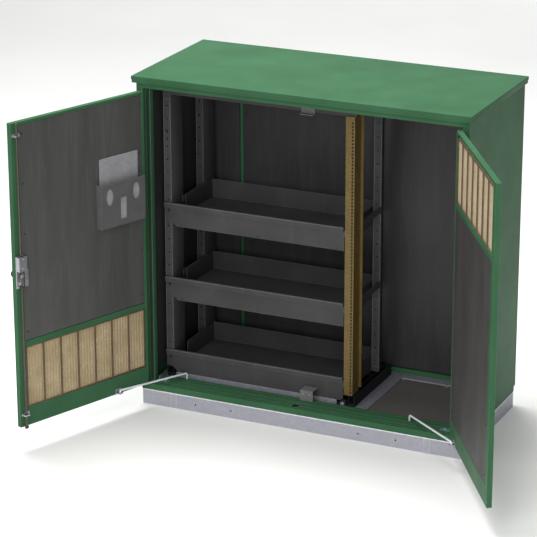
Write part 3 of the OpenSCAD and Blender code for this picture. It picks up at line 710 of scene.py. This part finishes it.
@dataclass
class Shell(Assembly):
    """The fixed cabinet: plinth, frame, walls, roof and liners."""

    rivet_mm: float = 3.2
    rivet_pitch_mm: float = 170.0
    hem_mm: float = 11.0
    bead_mm: float = 1.6
    hem_radius_mm: float = 2.6
    rear_rib_mm: tuple[float, float] = (6.0, 60.0)
    rear_rib_shares: tuple[float, ...] = (0.2, 0.4, 0.6, 0.8)
    rear_rib_stop_mm: float = 110.0
    lap_x_mm: tuple[float, ...] = (-508, 480)
    lap_width_mm: float = 26.0
    pin_head_z_mm: tuple[float, ...] = (190, 630, 1070)
    fixed: dict[Finish, dict[str, float]] = field(
        default_factory=lambda: {
            GREEN: {
                "front_sill": 0.8, "rear_sill": 0.8, "left_wall": 0.5, "right_wall": 0.5,
                "left_jamb": 0.7, "right_jamb": 0.7, "header": 0.7, "rear_frame": 0.6,
                "rear_panel": 1.8,
                "left_hinge_knuckles": 0.5, "right_hinge_knuckles": 0.5,
            },
            # The inside liners take the darker liner copy: painted shade.
            INTERIOR_LINER_SHADED: {
                "rear_panel_liner": 1.5, "rear_side_liners": 1.2, "left_liner": 1.5,
                "right_liner": 1.5, "ceiling_liner": 1.5,
            },
            FRAME_ZINC: {"floor_frame": 1.0, "anchor_washers": 0.8},
            FLOOR_PRIMER: {"gland_plate": 0.6},
            BRACKET_GREY: {"strike_brackets": 0.5},
            HINGE_BLUE: {"sill_hinge_brackets": 0.5},
            SEAL_RUBBER: {"jamb_seals": 1.2},
            PLINTH_ZINC: {"plinth": 1.6},
        }
    )

    def build(self) -> None:
        """Builds every piece of the shell."""
        for finish, nodes in self.fixed.items():
            for node, edge_mm in nodes.items():
                self.refine(node, finish, edge_mm)
        self.roof()
        self.sill_beads()
        self.liner_rivets()
        self.rear_panel_details()
        self.plinth_details()
        self.gland_screws()
        self.hinge_pins()
        self.bracket_screws()

    def roof(self) -> None:
        """Builds the roof: a tray whose rim folds down, then back under a stepped hem."""
        low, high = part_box("roof")
        step = Vector((SHEET, SHEET, 0.0))
        bm = bmesh.new()
        soft_block(bm, (low.x, low.y, low.z + self.hem_mm * MM), high, 1.6 * MM, 3)
        under = [f for f in bm.faces if f.normal.z < -0.9]
        bmesh.ops.inset_region(bm, faces=under, thickness=SHEET, use_even_offset=True)
        bmesh.ops.translate(bm, verts=list({v for f in under for v in f.verts}), vec=(0, 0, 9 * MM))
        inner, outer = low + step, high - step
        for a, b in (
            ((inner.x, inner.y), (outer.x, inner.y + SHEET)),
            ((inner.x, outer.y - SHEET), (outer.x, outer.y)),
            ((inner.x, inner.y + SHEET), (inner.x + SHEET, outer.y - SHEET)),
            ((outer.x - SHEET, inner.y + SHEET), (outer.x, outer.y - SHEET)),
        ):
            soft_block(bm, (*a, low.z), (*b, low.z + (self.hem_mm + 1) * MM), 0.7 * MM)
        self.piece("roof_formed", bm, GREEN, "roof")

    def sill_beads(self) -> None:
        """Builds the rolled beads that run along the sill's tread."""
        low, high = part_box("front_sill")
        tread = high.z - 0.6 * MM
        bm = bmesh.new()
        front, middle, rear = low.y + 12 * MM, low.y + 42 * MM, high.y - 14 * MM
        for y, z in ((front, tread - 4 * MM), (middle, tread), (rear, tread)):
            barrel(bm, (low.x + 50 * MM, y, z), (high.x - 50 * MM, y, z), self.bead_mm * MM, 12)
        self.piece("sill_beads", bm, GREEN)

    def liner_rivets(self) -> None:
        """Builds the blind rivets that hold the liners."""
        bm = bmesh.new()
        inset = 12 * MM
        for node, out in (("left_liner", 1.0), ("right_liner", -1.0)):
            low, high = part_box(node)
            face, facing = high.x if out > 0 else low.x, Vector((out, 0, 0))
            for z in self.steps(low.z + inset, high.z - inset):
                for y in (low.y + inset, high.y - inset):
                    screw_head(bm, Vector((face, y, z)), facing, self.rivet_mm * MM, 12)
        low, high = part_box("rear_panel_liner")
        for z in self.steps(low.z + inset, high.z - inset):
            for x in (low.x + inset, high.x - inset):
                screw_head(bm, Vector((x, low.y, z)), FRONT, self.rivet_mm * MM, 12)
        self.piece("liner_rivets", bm, BLACK)

    def steps(self, start: float, end: float) -> list[float]:
        """Gives evenly spaced places about one rivet pitch apart."""
        count = max(1, round((end - start) / (self.rivet_pitch_mm * MM)))
        return [start + (end - start) * i / count for i in range(count + 1)]

    def rear_panel_details(self) -> None:
        """Builds the pressed stiffeners and the screws of the rear panel."""
        low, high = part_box("rear_panel")
        proud, width = (v * MM for v in self.rear_rib_mm)
        stop = self.rear_rib_stop_mm * MM
        bm = bmesh.new()
        for share in self.rear_rib_shares:
            x = low.x + (high.x - low.x) * share
            foot = (x - width / 2, high.y - 1 * MM, low.z + stop)
            head = (x + width / 2, high.y + proud - 2 * MM, high.z - stop)
            soft_block(bm, foot, head, 3.4 * MM, 4)
        self.piece("rear_panel_ribs", bm, GREEN)
        seats = [
            Vector((x, high.y, z))
            for z in self.steps(low.z + 22 * MM, high.z - 22 * MM)
            for x in (low.x + 16 * MM, high.x - 16 * MM)
        ]
        self.heads("rear_panel_screws", BRIGHT_ZINC, seats, BACK, 4.6)

    def plinth_details(self) -> None:
        """Builds the lapped seams and the rolled hem along the plinth's top edges."""
        low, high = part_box("plinth")
        bm = bmesh.new()
        for x in (v * MM for v in self.lap_x_mm):
            for y, out in ((low.y, -1), (high.y, 1)):
                near, far = sorted((y, y + out * 0.9 * MM))
                corner = (x + self.lap_width_mm * MM, far, high.z - 3 * MM)
                soft_block(bm, (x, near, 2 * MM), corner, 0.4 * MM)
        self.piece("plinth_laps", bm, PLINTH_ZINC)
        bm = bmesh.new()
        radius = self.hem_radius_mm * MM
        z = high.z - radius * 0.8
        for y in (low.y + radius * 0.5, high.y - radius * 0.5):
            barrel(bm, (low.x + 12 * MM, y, z), (high.x - 12 * MM, y, z), radius, 12)
        for x in (low.x + radius * 0.5, high.x - radius * 0.5):
            barrel(bm, (x, low.y + 12 * MM, z), (x, high.y - 12 * MM, z), radius, 12)
        # The near-white hem along the top edges is a painted highlight.
        self.piece("plinth_hem", bm, HEM_ZINC_HIGHLIGHT)

    def gland_screws(self) -> None:
        """Builds the screws round the gland plate and the rack's floor plate."""
        seats = []
        for node in ("gland_plate", "rack_floor_plate"):
            low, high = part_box(node)
            for x in (low.x + 10 * MM, (low.x + high.x) / 2, high.x - 10 * MM):
                seats += [Vector((x, y, high.z)) for y in (low.y + 10 * MM, high.y - 10 * MM)]
        self.heads("floor_plate_screws", BRIGHT_ZINC, seats, UP, 4.2)

    def hinge_pins(self) -> None:
        """Builds the swaged heads on the undersides of the hinge knuckles."""
        seats = []
        for joint in ("left_door_hinge", "right_door_hinge"):
            x, y, _ = self.shop.joints[joint]["pos_m"]
            seats += [Vector((x, y, z * MM)) for z in self.pin_head_z_mm]
        self.heads("hinge_pin_heads", BRIGHT_ZINC, seats, -UP, 4.4, 20)

    def bracket_screws(self) -> None:
        """Builds the screws of the strike and sill brackets."""
        bm = bmesh.new()
        low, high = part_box("strike_brackets")
        for x in (low.x + 12 * MM, high.x - 12 * MM):
            screw_head(bm, Vector((x, low.y + 10 * MM, low.z + 24 * MM)), FRONT, 3.6 * MM)
        low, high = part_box("sill_hinge_brackets")
        for x in (low.x + 22 * MM, high.x - 22 * MM):
            screw_head(bm, Vector((x, (low.y + high.y) / 2, low.z + 2 * MM)), UP, 4.5 * MM)
        self.piece("bracket_screws", bm, BRIGHT_ZINC)


# ---- rack ----


@dataclass
class Rack(Assembly):
    """The shelf rack: base, posts, perforated upright, rails and trays."""

    sheet: float = SHEET
    upright_pitch_mm: float = 12.5
    upright_hole_mm: float = 3.8
    upright_face_mm: float = 34.0
    web_hole_mm: float = 1.8
    upright_sheet_mm: float = 1.2
    post_pitch_mm: float = 50.0
    post_hole_mm: float = 3.4
    trays: tuple[str, ...] = ("tray_bottom", "tray_middle", "tray_top")
    front_stud_z_mm: tuple[float, ...] = (980, 1010)
    rear_stud_z_mm: float = 1000
    web_columns: int = 6

    def build(self) -> None:
        """Builds every piece of the rack."""
        for node in (*self.trays, "rack_side_rails", "rack_top_frame"):
            self.refine(node, RACK_GREY, 0.9)
        for node in ("rack_base", "rack_floor_plate", "upright_brackets"):
            self.refine(node, BLACK, 0.9)
        self.refine("rack_front_strip", FRAME_ZINC, 0.8)
        self.post("post_front_left", False)
        self.post("post_rear_left", False)
        self.post("post_rear_right", True)
        self.upright()
        self.tray_lips()
        self.screws()

    def folded(self, bm: BMesh, thickness: float) -> BMesh:
        """Merges a sheet's skins along their folds and gives them a thickness."""
        bmesh.ops.remove_doubles(bm, verts=bm.verts, dist=0.05 * MM)
        bmesh.ops.recalc_face_normals(bm, faces=bm.faces)
        bmesh.ops.solidify(bm, geom=bm.faces[:], thickness=thickness)
        bmesh.ops.recalc_face_normals(bm, faces=bm.faces)
        return bm

    def post(self, node: str, flip: bool) -> None:
        """Builds a folded post with a row of holes in its face.

        Args:
            node: The CAD node that it stands for.
            flip: True where the web is on the left of the face.
        """
        low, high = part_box(node)
        pitch = self.post_pitch_mm * MM
        count = int((high.z - low.z) / pitch)
        rest = (high.z - low.z - count * pitch) / 2
        bm = bmesh.new()
        width = high.x - low.x - 2 * self.sheet
        place = Matrix.Translation((low.x + self.sheet, low.y, low.z + rest))
        punched_strip(bm, width, pitch, count, width / 2, self.post_hole_mm * MM, place)
        bmesh.ops.solidify(bm, geom=bm.faces[:], thickness=-self.sheet)
        web, hem = (low.x, high.x - self.sheet) if flip else (high.x - self.sheet, low.x)
        soft_block(bm, (web, low.y, low.z), (web + self.sheet, high.y, high.z), 0.6 * MM)
        soft_block(bm, (hem, low.y, low.z), (hem + self.sheet, low.y + 14 * MM, high.z), 0.6 * MM)
        for a, b in ((low.z, low.z + rest), (high.z - rest, high.z)):
            block(bm, (low.x + self.sheet, low.y, a), (high.x - self.sheet, low.y + self.sheet, b))
        self.piece(node + "_formed", bm, RACK_GREY, node)

    def upright(self) -> None:
        """Builds the yellow upright, with its row of holes in the face and slots in the web."""
        low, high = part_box("perforated_upright")
        pitch = self.upright_pitch_mm * MM
        count = int((high.z - low.z - 20 * MM) / pitch)
        start = low.z + 12 * MM - pitch / 2
        face = self.upright_face_mm * MM
        right = low.x + face
        bm = bmesh.new()
        place = Matrix.Translation((low.x, low.y, start))
        hole = self.upright_hole_mm * MM
        punched_strip(bm, face, pitch, count, face - 8 * MM, hole, place, 16, 2)
        turn = Matrix.Translation((right, low.y, start)) @ Matrix.Rotation(math.pi / 2, 4, "Z")
        depth = high.y - low.y
        columns = self.web_columns
        for i in range(columns):
            column = turn @ Matrix.Translation((depth * i / columns, 0, 0))
            cell = depth / columns
            hole = self.web_hole_mm * MM
            punched_strip(bm, cell, pitch / 2, count * 2, cell / 2, hole, column, 8)
        bm = self.folded(bm, self.upright_sheet_mm * MM)
        top = start + count * pitch
        for a, b in ((low.z, start), (top, high.z)):
            block(bm, (low.x, low.y, a), (right, low.y + self.sheet, b))
            block(bm, (right - self.sheet, low.y + self.sheet, a), (right, high.y, b))
        block(bm, (right, high.y - self.sheet, low.z + 16 * MM), high)
        self.piece("perforated_upright_formed", bm, YELLOW_ZINC, "perforated_upright")
        # A black strip behind the face's holes is painted shade: it makes the holes read dark.
        bm = bmesh.new()
        middle, back = right - 8 * MM, low.y + 5 * MM
        far = (middle + 5.5 * MM, back + 1 * MM, top)
        soft_block(bm, (middle - 5.5 * MM, back, start), far, 0.3 * MM, 1)
        self.piece("upright_painted_shade_strip", bm, BLACK)

    def tray_lips(self) -> None:
        """Builds the rolled bead along the top of each tray's lip."""
        for node in self.trays:
            low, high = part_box(node)
            bm = bmesh.new()
            at = (low.y + 2.6 * MM, high.z - 2.4 * MM)
            barrel(bm, (low.x + 1 * MM, *at), (high.x - 17 * MM, *at), 2.8 * MM, 16)
            round_edges(bm, bm.edges[:], 0.8 * MM, 2, math.radians(60))
            # The lip bead's lighter grey is a painted highlight.
            self.piece(node + "_lip", bm, RACK_LIP_HIGHLIT)

    def screws(self) -> None:
        """Builds the socket screws in the trays' ears and the studs on the posts."""
        bm = bmesh.new()
        for node in self.trays:
            low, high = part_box(node)
            ear = Vector((low.x + 16 * MM, low.y + 8 * MM, high.z - 30 * MM))
            screw_head(bm, ear, FRONT, 5 * MM)
        studs = [("post_front_left", z) for z in self.front_stud_z_mm]
        for node, z in (*studs, ("post_rear_left", self.rear_stud_z_mm)):
            low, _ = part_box(node)
            screw_head(bm, Vector((low.x + 14 * MM, low.y, z * MM)), FRONT, 4.5 * MM)
        self.piece("rack_screw_heads", bm, BLACK, "rack_screws")
        foot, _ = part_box("upright_brackets")
        seat = Vector((foot.x + 9 * MM, foot.y, foot.z + 14 * MM))
        self.heads("foot_bolt", FRAME_ZINC, [seat], FRONT, 7.5, 24)


# ---- doors ----


@dataclass
class Leaf(Assembly):
    """One door leaf. Its own frame has the hinge pin at its origin, u along the leaf from the
    pin, v into the cabinet when closed, and z up."""

    side: str
    vent_node: str
    louvre_from_mm: float
    liner: Finish = DOOR_LINER
    inner_mm: float = 23.0
    outer_mm: float = 5.0
    window_mm: tuple[float, float] = (17.5, 565.5)
    pleat_mm: float = 13.0
    bays: int = 7
    louvre_centres_mm: tuple[float, ...] = (103, 303, 503)
    louvre_rows: int = 9
    louvre_pitch_mm: float = 22
    louvre_half_mm: float = 77
    liner_screw_rows: int = 5

    def __post_init__(self) -> None:
        """Works out the turn from the leaf's own frame to its open place."""
        joint = self.shop.joints[self.side + "_door_hinge"]
        flip = 1.0 if self.side == "left" else -1.0
        open_deg = max(abs(v) for v in joint["range_deg"])
        pin = Vector((joint["pos_m"][0], joint["pos_m"][1], 0.0))
        turn = Matrix.Rotation(-flip * math.radians(open_deg), 4, "Z")
        self.place = Matrix.Translation(pin) @ turn @ Matrix.Diagonal((flip, 1.0, 1.0, 1.0))

    def hang(self, bm: BMesh) -> BMesh:
        """Moves a mesh from the leaf's own frame to its open place."""
        bmesh.ops.transform(bm, matrix=self.place, verts=bm.verts)
        if self.side == "right":
            bmesh.ops.reverse_faces(bm, faces=bm.faces)
        return bm

    def piece(
        self, name: str, bm: BMesh, finish: Finish, *replaces: str, smooth: float = 40.0
    ) -> None:
        """Makes a piece from a mesh in the leaf's own frame."""
        super().piece(name, self.hang(bm), finish, *replaces, smooth=smooth)

    def at(self, u: float, v: float, z: float) -> Vector:
        """Gives a point of the leaf's own frame, from millimetres to metres."""
        return Vector((u * MM, v * MM, z * MM))

    def build(self) -> None:
        """Builds every piece that both leaves have."""
        self.refine(self.side + "_door_shell", GREEN, 0.9)
        self.refine(self.side + "_door_rail", GREEN, 1.0)
        self.refine(self.side + "_door_liner", self.liner, 1.2)
        self.refine(self.side + "_stay_bracket", BRIGHT_ZINC, 0.4)
        self.filter_pad()
        self.filter_grid()
        self.louvres()
        self.liner_screws()

    def filter_pad(self) -> None:
        """Builds the pleated fleece behind the louvres."""
        low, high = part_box(self.vent_node)
        left, right = (w * MM for w in self.window_mm)
        pleats = round((right - left) / (self.pleat_mm * MM))
        bm = bmesh.new()
        height = high.z - low.z
        centre = ((left + right) / 2, 14.5 * MM, (low.z + high.z) / 2)
        scale = Matrix.Diagonal((right - left - 2 * MM, 1.0, height, 1.0))
        place = Matrix.Translation(centre) @ scale @ Matrix.Rotation(math.pi / 2, 4, "X")
        bmesh.ops.create_grid(bm, x_segments=pleats * 4, y_segments=4, size=0.5, matrix=place)
        for v in bm.verts:
            wave = (v.co.x - left) / (self.pleat_mm * MM) % 1.0
            v.co.y += (abs(wave - 0.5) * 2 - 0.5) * 4.2 * MM
        bmesh.ops.solidify(bm, geom=bm.faces[:], thickness=1.6 * MM)
        bmesh.ops.recalc_face_normals(bm, faces=bm.faces)
        self.piece(self.side + "_filter_pleats", bm, FLEECE, self.vent_node, smooth=60)

    def filter_grid(self) -> None:
        """Builds the moulded grid in front of the fleece."""
        low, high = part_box(self.side + "_filter_ribs")
        left, right = self.window_mm
        bottom, top = low.z / MM, high.z / MM
        face, back = self.inner_mm - 0.6, self.inner_mm - 4.5
        pitch = (right - left) / self.bays
        bm = bmesh.new()
        for i in range(1, self.bays):
            u = left + i * pitch
            soft_block(bm, self.at(u - 3, back, bottom), self.at(u + 3, face, top), 1.4 * MM, 3)
        for z in (bottom, top - 5):
            corner = self.at(right - 0.3, face - 1.2, z + 5)
            soft_block(bm, self.at(left + 0.3, back, z), corner, 1.0 * MM)
        for u in (left + 0.3, right - 5.3):
            soft_block(bm, self.at(u, back, bottom), self.at(u + 5, face - 1.2, top), 1.0 * MM)
        self.piece(self.side + "_filter_grid", bm, RIB_BROWN, self.side + "_filter_ribs")

    def louvres(self) -> None:
        """Builds the pressed hoods over the slots in the leaf's outer skin."""
        bm = bmesh.new()
        skin, half = self.outer_mm, self.louvre_half_mm
        for centre in self.louvre_centres_mm:
            for row in range(self.louvre_rows):
                z = self.louvre_from_mm + 14 + row * self.louvre_pitch_mm
                corner = self.at(centre + half, skin + 0.6, z + 10)
                verts = block(bm, self.at(centre - half, skin - 7.5, z), corner)
                top = [v for v in verts if v.co.z > (z + 5) * MM and v.co.y < skin * MM]
                bmesh.ops.translate(bm, verts=top, vec=(0, 7.0 * MM, 0))
                round_edges(bm, edges_of(verts), 1.4 * MM, 2)
        self.piece(self.side + "_louvre_hoods", bm, GREEN)

    def liner_screws(self) -> None:
        """Builds the screws that hold the liner to the leaf."""
        low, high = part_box(self.side + "_door_liner")
        face = self.inner_mm - 0.8
        seats = []
        for i in range(self.liner_screw_rows):
            share = 0.04 + 0.92 * i / (self.liner_screw_rows - 1)
            z = (low.z + (high.z - low.z) * share) / MM
            seats += [self.at(u, face, z) for u in (self.window_mm[0] + 9, self.window_mm[1] - 12)]
        self.heads(self.side + "_liner_screws", BLACK, seats, BACK, 3.0, 12)


@dataclass
class LeftLeaf(Leaf):
    """The left leaf, with the document pocket and the three-point lock."""

    lock_u_mm: float = 584.0
    lock_z_mm: float = 652.0
    rod_v_mm: float = 35.0
    pocket_face_mm: float = 48.2
    sheets_mm: tuple[tuple[float, float], ...] = ((45, 876), (49, 868), (47, 860))
    case_screws_mm: tuple[tuple[float, float], ...] = ((-12, -41), (8, -41), (-29, -40), (-29, 6))
    cover_screws_mm: tuple[float, ...] = (26, 62)
    guide_z_mm: tuple[float, ...] = (136, 1146)

    def build(self) -> None:
        """Builds the leaf, its pocket and its lock."""
        super().build()
        self.refine("document_pocket", POCKET_GREY, 1.2, 3)
        self.refine("diagram_card", CARD, 0.5)
        self.refine("rod_guides", BRIGHT_ZINC, 0.5)
        self.refine("lock_case", BRIGHT_ZINC, 0.7)
        self.papers()
        self.lock_screws()

    def papers(self) -> None:
        """Builds the folded sheets that stand behind the pocket's windows."""
        bm = bmesh.new()
        for i, (left, top) in enumerate(self.sheets_mm):
            front = self.pocket_face_mm - 3.2 - i * 0.8
            corner = self.at(left + 168, front, top)
            soft_block(bm, self.at(left, front - 0.4, 741), corner, 0.1 * MM, 1)
        self.piece("pocket_papers", bm, CARD)

    def lock_screws(self) -> None:
        """Builds the screws of the lock case and the rod guides."""
        bm = bmesh.new()
        u, z, face = self.lock_u_mm, self.lock_z_mm, self.inner_mm
        for du, dz in self.case_screws_mm:
            seat = self.at(u + du, face + (3 if du < -20 else 5), z + dz)
            screw_head(bm, seat, BACK, 3.4 * MM)
        for dz in self.cover_screws_mm:
            screw_head(bm, self.at(u - 2.5, face + 21, z + dz), BACK, 3.0 * MM)
        for guide in self.guide_z_mm:
            screw_head(bm, self.at(u - 16.5, face + 2, guide + 3), BACK, 2.8 * MM, 12)
        self.piece("lock_screw_heads", bm, FRAME_ZINC)


@dataclass
class Lock:
    """The lock's moving pieces: handle, pinion and the two rods with their racks."""

    shop: Workshop
    leaf: LeftLeaf
    pinion_mm: float = 8.5
    rod_mm: float = 4.0
    pinion_teeth: int = 16
    tooth_mm: float = 1.6
    tongue_mm: float = 35.0
    lever_mm: float = 120.0
    roller_z_mm: float = 93.0

    def build(self) -> None:
        """Builds the handle, the pinion and the rods."""
        self.pinion()
        self.handle()
        self.rod("upper_rod", Body.UPPER_ROD, 1)
        self.rod("lower_rod", Body.LOWER_ROD, -1)

    def pinion(self) -> None:
        """Builds the toothed pinion on its shaft, with the tongue under it."""
        leaf = self.leaf
        u, z, v = leaf.lock_u_mm, leaf.lock_z_mm, leaf.rod_v_mm
        bm = bmesh.new()
        barrel(bm, leaf.at(u, leaf.outer_mm - 2, z), leaf.at(u, v - 3, z), 7.9 * MM, 40)
        root = (self.pinion_mm - self.tooth_mm) * MM
        gear = barrel(bm, leaf.at(u, v - 3, z), leaf.at(u, v + 4, z), root, self.pinion_teeth * 2)
        flanks = [f for f in {f for w in gear for f in w.link_faces} if abs(f.normal.y) < 0.1]
        centres = {f: f.calc_center_median() for f in flanks}
        flanks.sort(key=lambda f: math.atan2(centres[f].x - u * MM, centres[f].z - z * MM))
        for face in bmesh.ops.extrude_discrete_faces(bm, faces=flanks[::2])["faces"]:
            out = face.normal.copy()
            bmesh.ops.translate(bm, verts=face.verts[:], vec=out * self.tooth_mm * MM)
            origin = Matrix.Translation(-face.calc_center_median())
            bmesh.ops.scale(bm, vec=(0.7, 1.0, 0.7), verts=face.verts[:], space=origin)
        barrel(bm, leaf.at(u, v + 4, z), leaf.at(u, v + 6, z), 5 * MM, 24, 4.2 * MM)
        tongue_v = leaf.inner_mm + 5.4
        tip = leaf.at(u - 7, tongue_v, z - self.tongue_mm)
        soft_block(bm, tip, leaf.at(u + 7, tongue_v + 2, z), 0.5 * MM)
        self.shop.piece(
            "lock_pinion_cut", leaf.hang(bm), Body.LOCK, BRIGHT_ZINC, ["lock_pinion"], 30
        )

    def handle(self) -> None:
        """Builds the outer lever with its round boss and key cylinder."""
        leaf = self.leaf
        u, z = leaf.lock_u_mm, leaf.lock_z_mm
        face = leaf.outer_mm
        bm = bmesh.new()
        boss = barrel(bm, leaf.at(u, face - 12, z), leaf.at(u, face - 2, z), 14 * MM, 48)
        round_edges(bm, edges_of(boss), 2.2 * MM, 4, math.radians(50))
        end = leaf.at(u - self.lever_mm, face - 11.6, z - 8.6)
        lever = block(bm, end, leaf.at(u, face - 4.4, z + 8.6))
        tip = [w for w in lever if w.co.x < (u - self.lever_mm / 2) * MM]
        origin = Matrix.Translation(-leaf.at(u, face - 6.4, z))
        bmesh.ops.scale(bm, vec=(1.0, 0.86, 0.7), verts=tip, space=origin)
        round_edges(bm, edges_of(lever), 3.0 * MM, 4)
        self.shop.piece("door_handle_cast", leaf.hang(bm), Body.LOCK, BLACK, ["door_handle"])
        bm = bmesh.new()
        key = barrel(bm, leaf.at(u, face - 11.4, z), leaf.at(u, face - 12.0, z), 8 * MM, 32)
        round_edges(bm, edges_of(key), 0.2 * MM, 1)
        self.shop.piece("key_cylinder", leaf.hang(bm), Body.LOCK, BRIGHT_ZINC)

    def rod(self, node: str, body: Body, side: int) -> None:
        """Builds a rod with its toothed rack.

        Args:
            node: The CAD node that it stands for.
            body: The body that it rides on.
            side: 1 where the rack is on the free-edge side of the pinion, otherwise -1.
        """
        leaf = self.leaf
        low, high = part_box(node)
        u, v, z = leaf.lock_u_mm, leaf.rod_v_mm, leaf.lock_z_mm
        neck = z + 38 if side > 0 else z - 38
        rod_low, rod_high = (neck, high.z / MM) if side > 0 else (low.z / MM, neck)
        bm = bmesh.new()
        shank = barrel(bm, leaf.at(u, v, rod_low), leaf.at(u, v, rod_high), self.rod_mm * MM, 24)
        round_edges(bm, edges_of(shank), 0.9 * MM, 2, math.radians(60))
        start, end = (z - 22, z + 46) if side > 0 else (z - 46, z + 22)
        near, far = sorted((u + side * 10.6, u + side * 12.0))
        soft_block(bm, leaf.at(near, v - 2.5, start), leaf.at(far, v + 2.5, end), 0.3 * MM, 1)
        pitch = math.tau * self.pinion_mm / self.pinion_teeth
        a, b = sorted((u + side * 9.1, u + side * 10.8))
        for i in range(int((end - start) / pitch)):
            at = start + (i + 0.5) * pitch
            tooth = block(bm, leaf.at(a, v - 2.4, at - 1.1), leaf.at(b, v + 2.4, at + 1.1))
            crown = [w for w in tooth if abs(w.co.x - (u + side * 9.1) * MM) < 0.1 * MM]
            origin = Matrix.Translation(-leaf.at(u, v, at))
            bmesh.ops.scale(bm, vec=(1, 1, 0.55), verts=crown, space=origin)
        arm = z + 41 if side > 0 else z - 46
        a, b = sorted((u, u + side * 12.0))
        soft_block(bm, leaf.at(a, v - 2.5, arm), leaf.at(b, v + 2.5, arm + 5), 0.5 * MM)
        if side < 0:
            z = self.roller_z_mm
            roller = barrel(bm, leaf.at(u - 7, v, z), leaf.at(u + 7, v, z), 4.5 * MM, 24)
            round_edges(bm, edges_of(roller), 0.8 * MM, 2, math.radians(60))
        self.shop.piece(node + "_cut", leaf.hang(bm), body, ROD_STEEL, [node])


@dataclass
class Stay:
    """A bent wire that holds a leaf open."""

    shop: Workshop
    side: str
    body: Body
    wire_mm: float = 3.5
    bend_mm: float = 7.0
    leg_mm: float = 16.0

    def build(self) -> None:
        """Builds the wire from its pivot leg to its hook."""
        node = self.side + "_stay"
        low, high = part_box(node)
        x, y, z = self.shop.joints[node + "_fold"]["pos_m"]
        reach = Vector((low.x + high.x - 2 * x, low.y + high.y - 2 * y, 0.0))
        along = reach.normalized()
        bend = self.bend_mm * MM
        wire = BentWire(Vector((x, y, z - self.leg_mm * MM)), UP, self.wire_mm * MM)
        wire.run(self.leg_mm * MM - bend).bend(along, bend).run(reach.length - 2 * bend)
        wire.bend(-UP, bend).run(z - bend - low.z)
        self.shop.piece(node + "_wire", wire.cut(), self.body, WIRE, [node], 50)


# ---- stage ----


@dataclass
class Studio:
    """The floor, the lights and the camera."""

    azimuth_deg: float = 24.85
    elevation_deg: float = 19.41
    roll_deg: float = -0.10
    distance: float = 9.0
    lens_mm: float = 167.5
    aim: Vector = field(default_factory=lambda: Vector((-0.2056, -0.0681, 0.5179)))
    floor_size: float = 90.0

    def build(self, shop: Workshop) -> None:
        """Builds the whole stage."""
        self.floor(shop)
        self.camera()
        self.lamp("key", (0.0, -7.0, 5.2), 4.0, 260.0)
        self.lamp("top", (-0.9, 0.6, 5.6), 3.6, 450.0)
        self.lamp("front_fill", (3.4, -8.0, 1.8), 3.0, 150.0)
        self.lamp("far_floor", (-2.0, 12.0, 7.0), 9.0, 900.0, (-5.0, 16.0, 0.0))
        world = bpy.data.worlds.new("studio")
        world.use_nodes = True
        back = world.node_tree.nodes["Background"]
        back.inputs["Color"].default_value = linear("#f4f5f7")
        back.inputs["Strength"].default_value = 0.35
        bpy.context.scene.world = world
        bpy.context.scene.view_settings.view_transform = "Standard"

    def floor(self, shop: Workshop) -> None:
        """Builds the pale floor."""
        bm = bmesh.new()
        bmesh.ops.create_grid(bm, x_segments=1, y_segments=1, size=self.floor_size / 2)
        mesh = bpy.data.meshes.new("studio_floor")
        bm.to_mesh(mesh)
        bm.free()
        mesh.materials.append(shop.material(STUDIO_FLOOR))
        made = bpy.data.objects.new("studio_floor", mesh)
        bpy.context.scene.collection.objects.link(made)

    def lamp(
        self, name: str, place: Sequence[float], size: float, watts: float,
        target: Sequence[float] = (0.0, 0.0, 0.5),
    ) -> None:
        """Adds a square soft light that faces a target, the cabinet if none is named."""
        data = bpy.data.lights.new(name, "AREA")
        data.size = size
        data.energy = watts
        made = bpy.data.objects.new(name, data)
        made.location = place
        aim = Vector(target) - Vector(place)
        made.rotation_mode = "QUATERNION"
        made.rotation_quaternion = aim.to_track_quat("-Z", "Y")
        bpy.context.scene.collection.objects.link(made)

    def camera(self) -> None:
        """Adds the camera at its viewing angle."""
        a, e = math.radians(self.azimuth_deg), math.radians(self.elevation_deg)
        back = Vector((math.sin(a) * math.cos(e), -math.cos(a) * math.cos(e), math.sin(e)))
        data = bpy.data.cameras.new("camera")
        data.lens = self.lens_mm
        data.sensor_width = 36.0
        made = bpy.data.objects.new("camera", data)
        made.location = self.aim + back * self.distance
        made.rotation_mode = "QUATERNION"
        level = (-back).to_track_quat("-Z", "Y")
        roll = Matrix.Rotation(math.radians(self.roll_deg), 4, "Z").to_quaternion()
        made.rotation_quaternion = level @ roll
        bpy.context.scene.collection.objects.link(made)
        bpy.context.scene.camera = made


def main() -> None:
    """Builds the cabinet's looks and the studio."""
    shop = Workshop(frame)
    Studio().build(shop)
    Shell(shop, Body.CABINET).build()
    Rack(shop, Body.CABINET).build()
    left = LeftLeaf(shop, Body.LEFT_DOOR, "left", "left_filter", 158.0)
    left.build()
    # The right leaf takes the darker liner copy: painted shade.
    Leaf(shop, Body.RIGHT_DOOR, "right", "right_filter", 944.0, DOOR_LINER_WARM_SHADED).build()
    Lock(shop, left).build()
    Stay(shop, "left", Body.LEFT_STAY).build()
    Stay(shop, "right", Body.RIGHT_STAY).build()


if __name__ == "__main__":
    main()
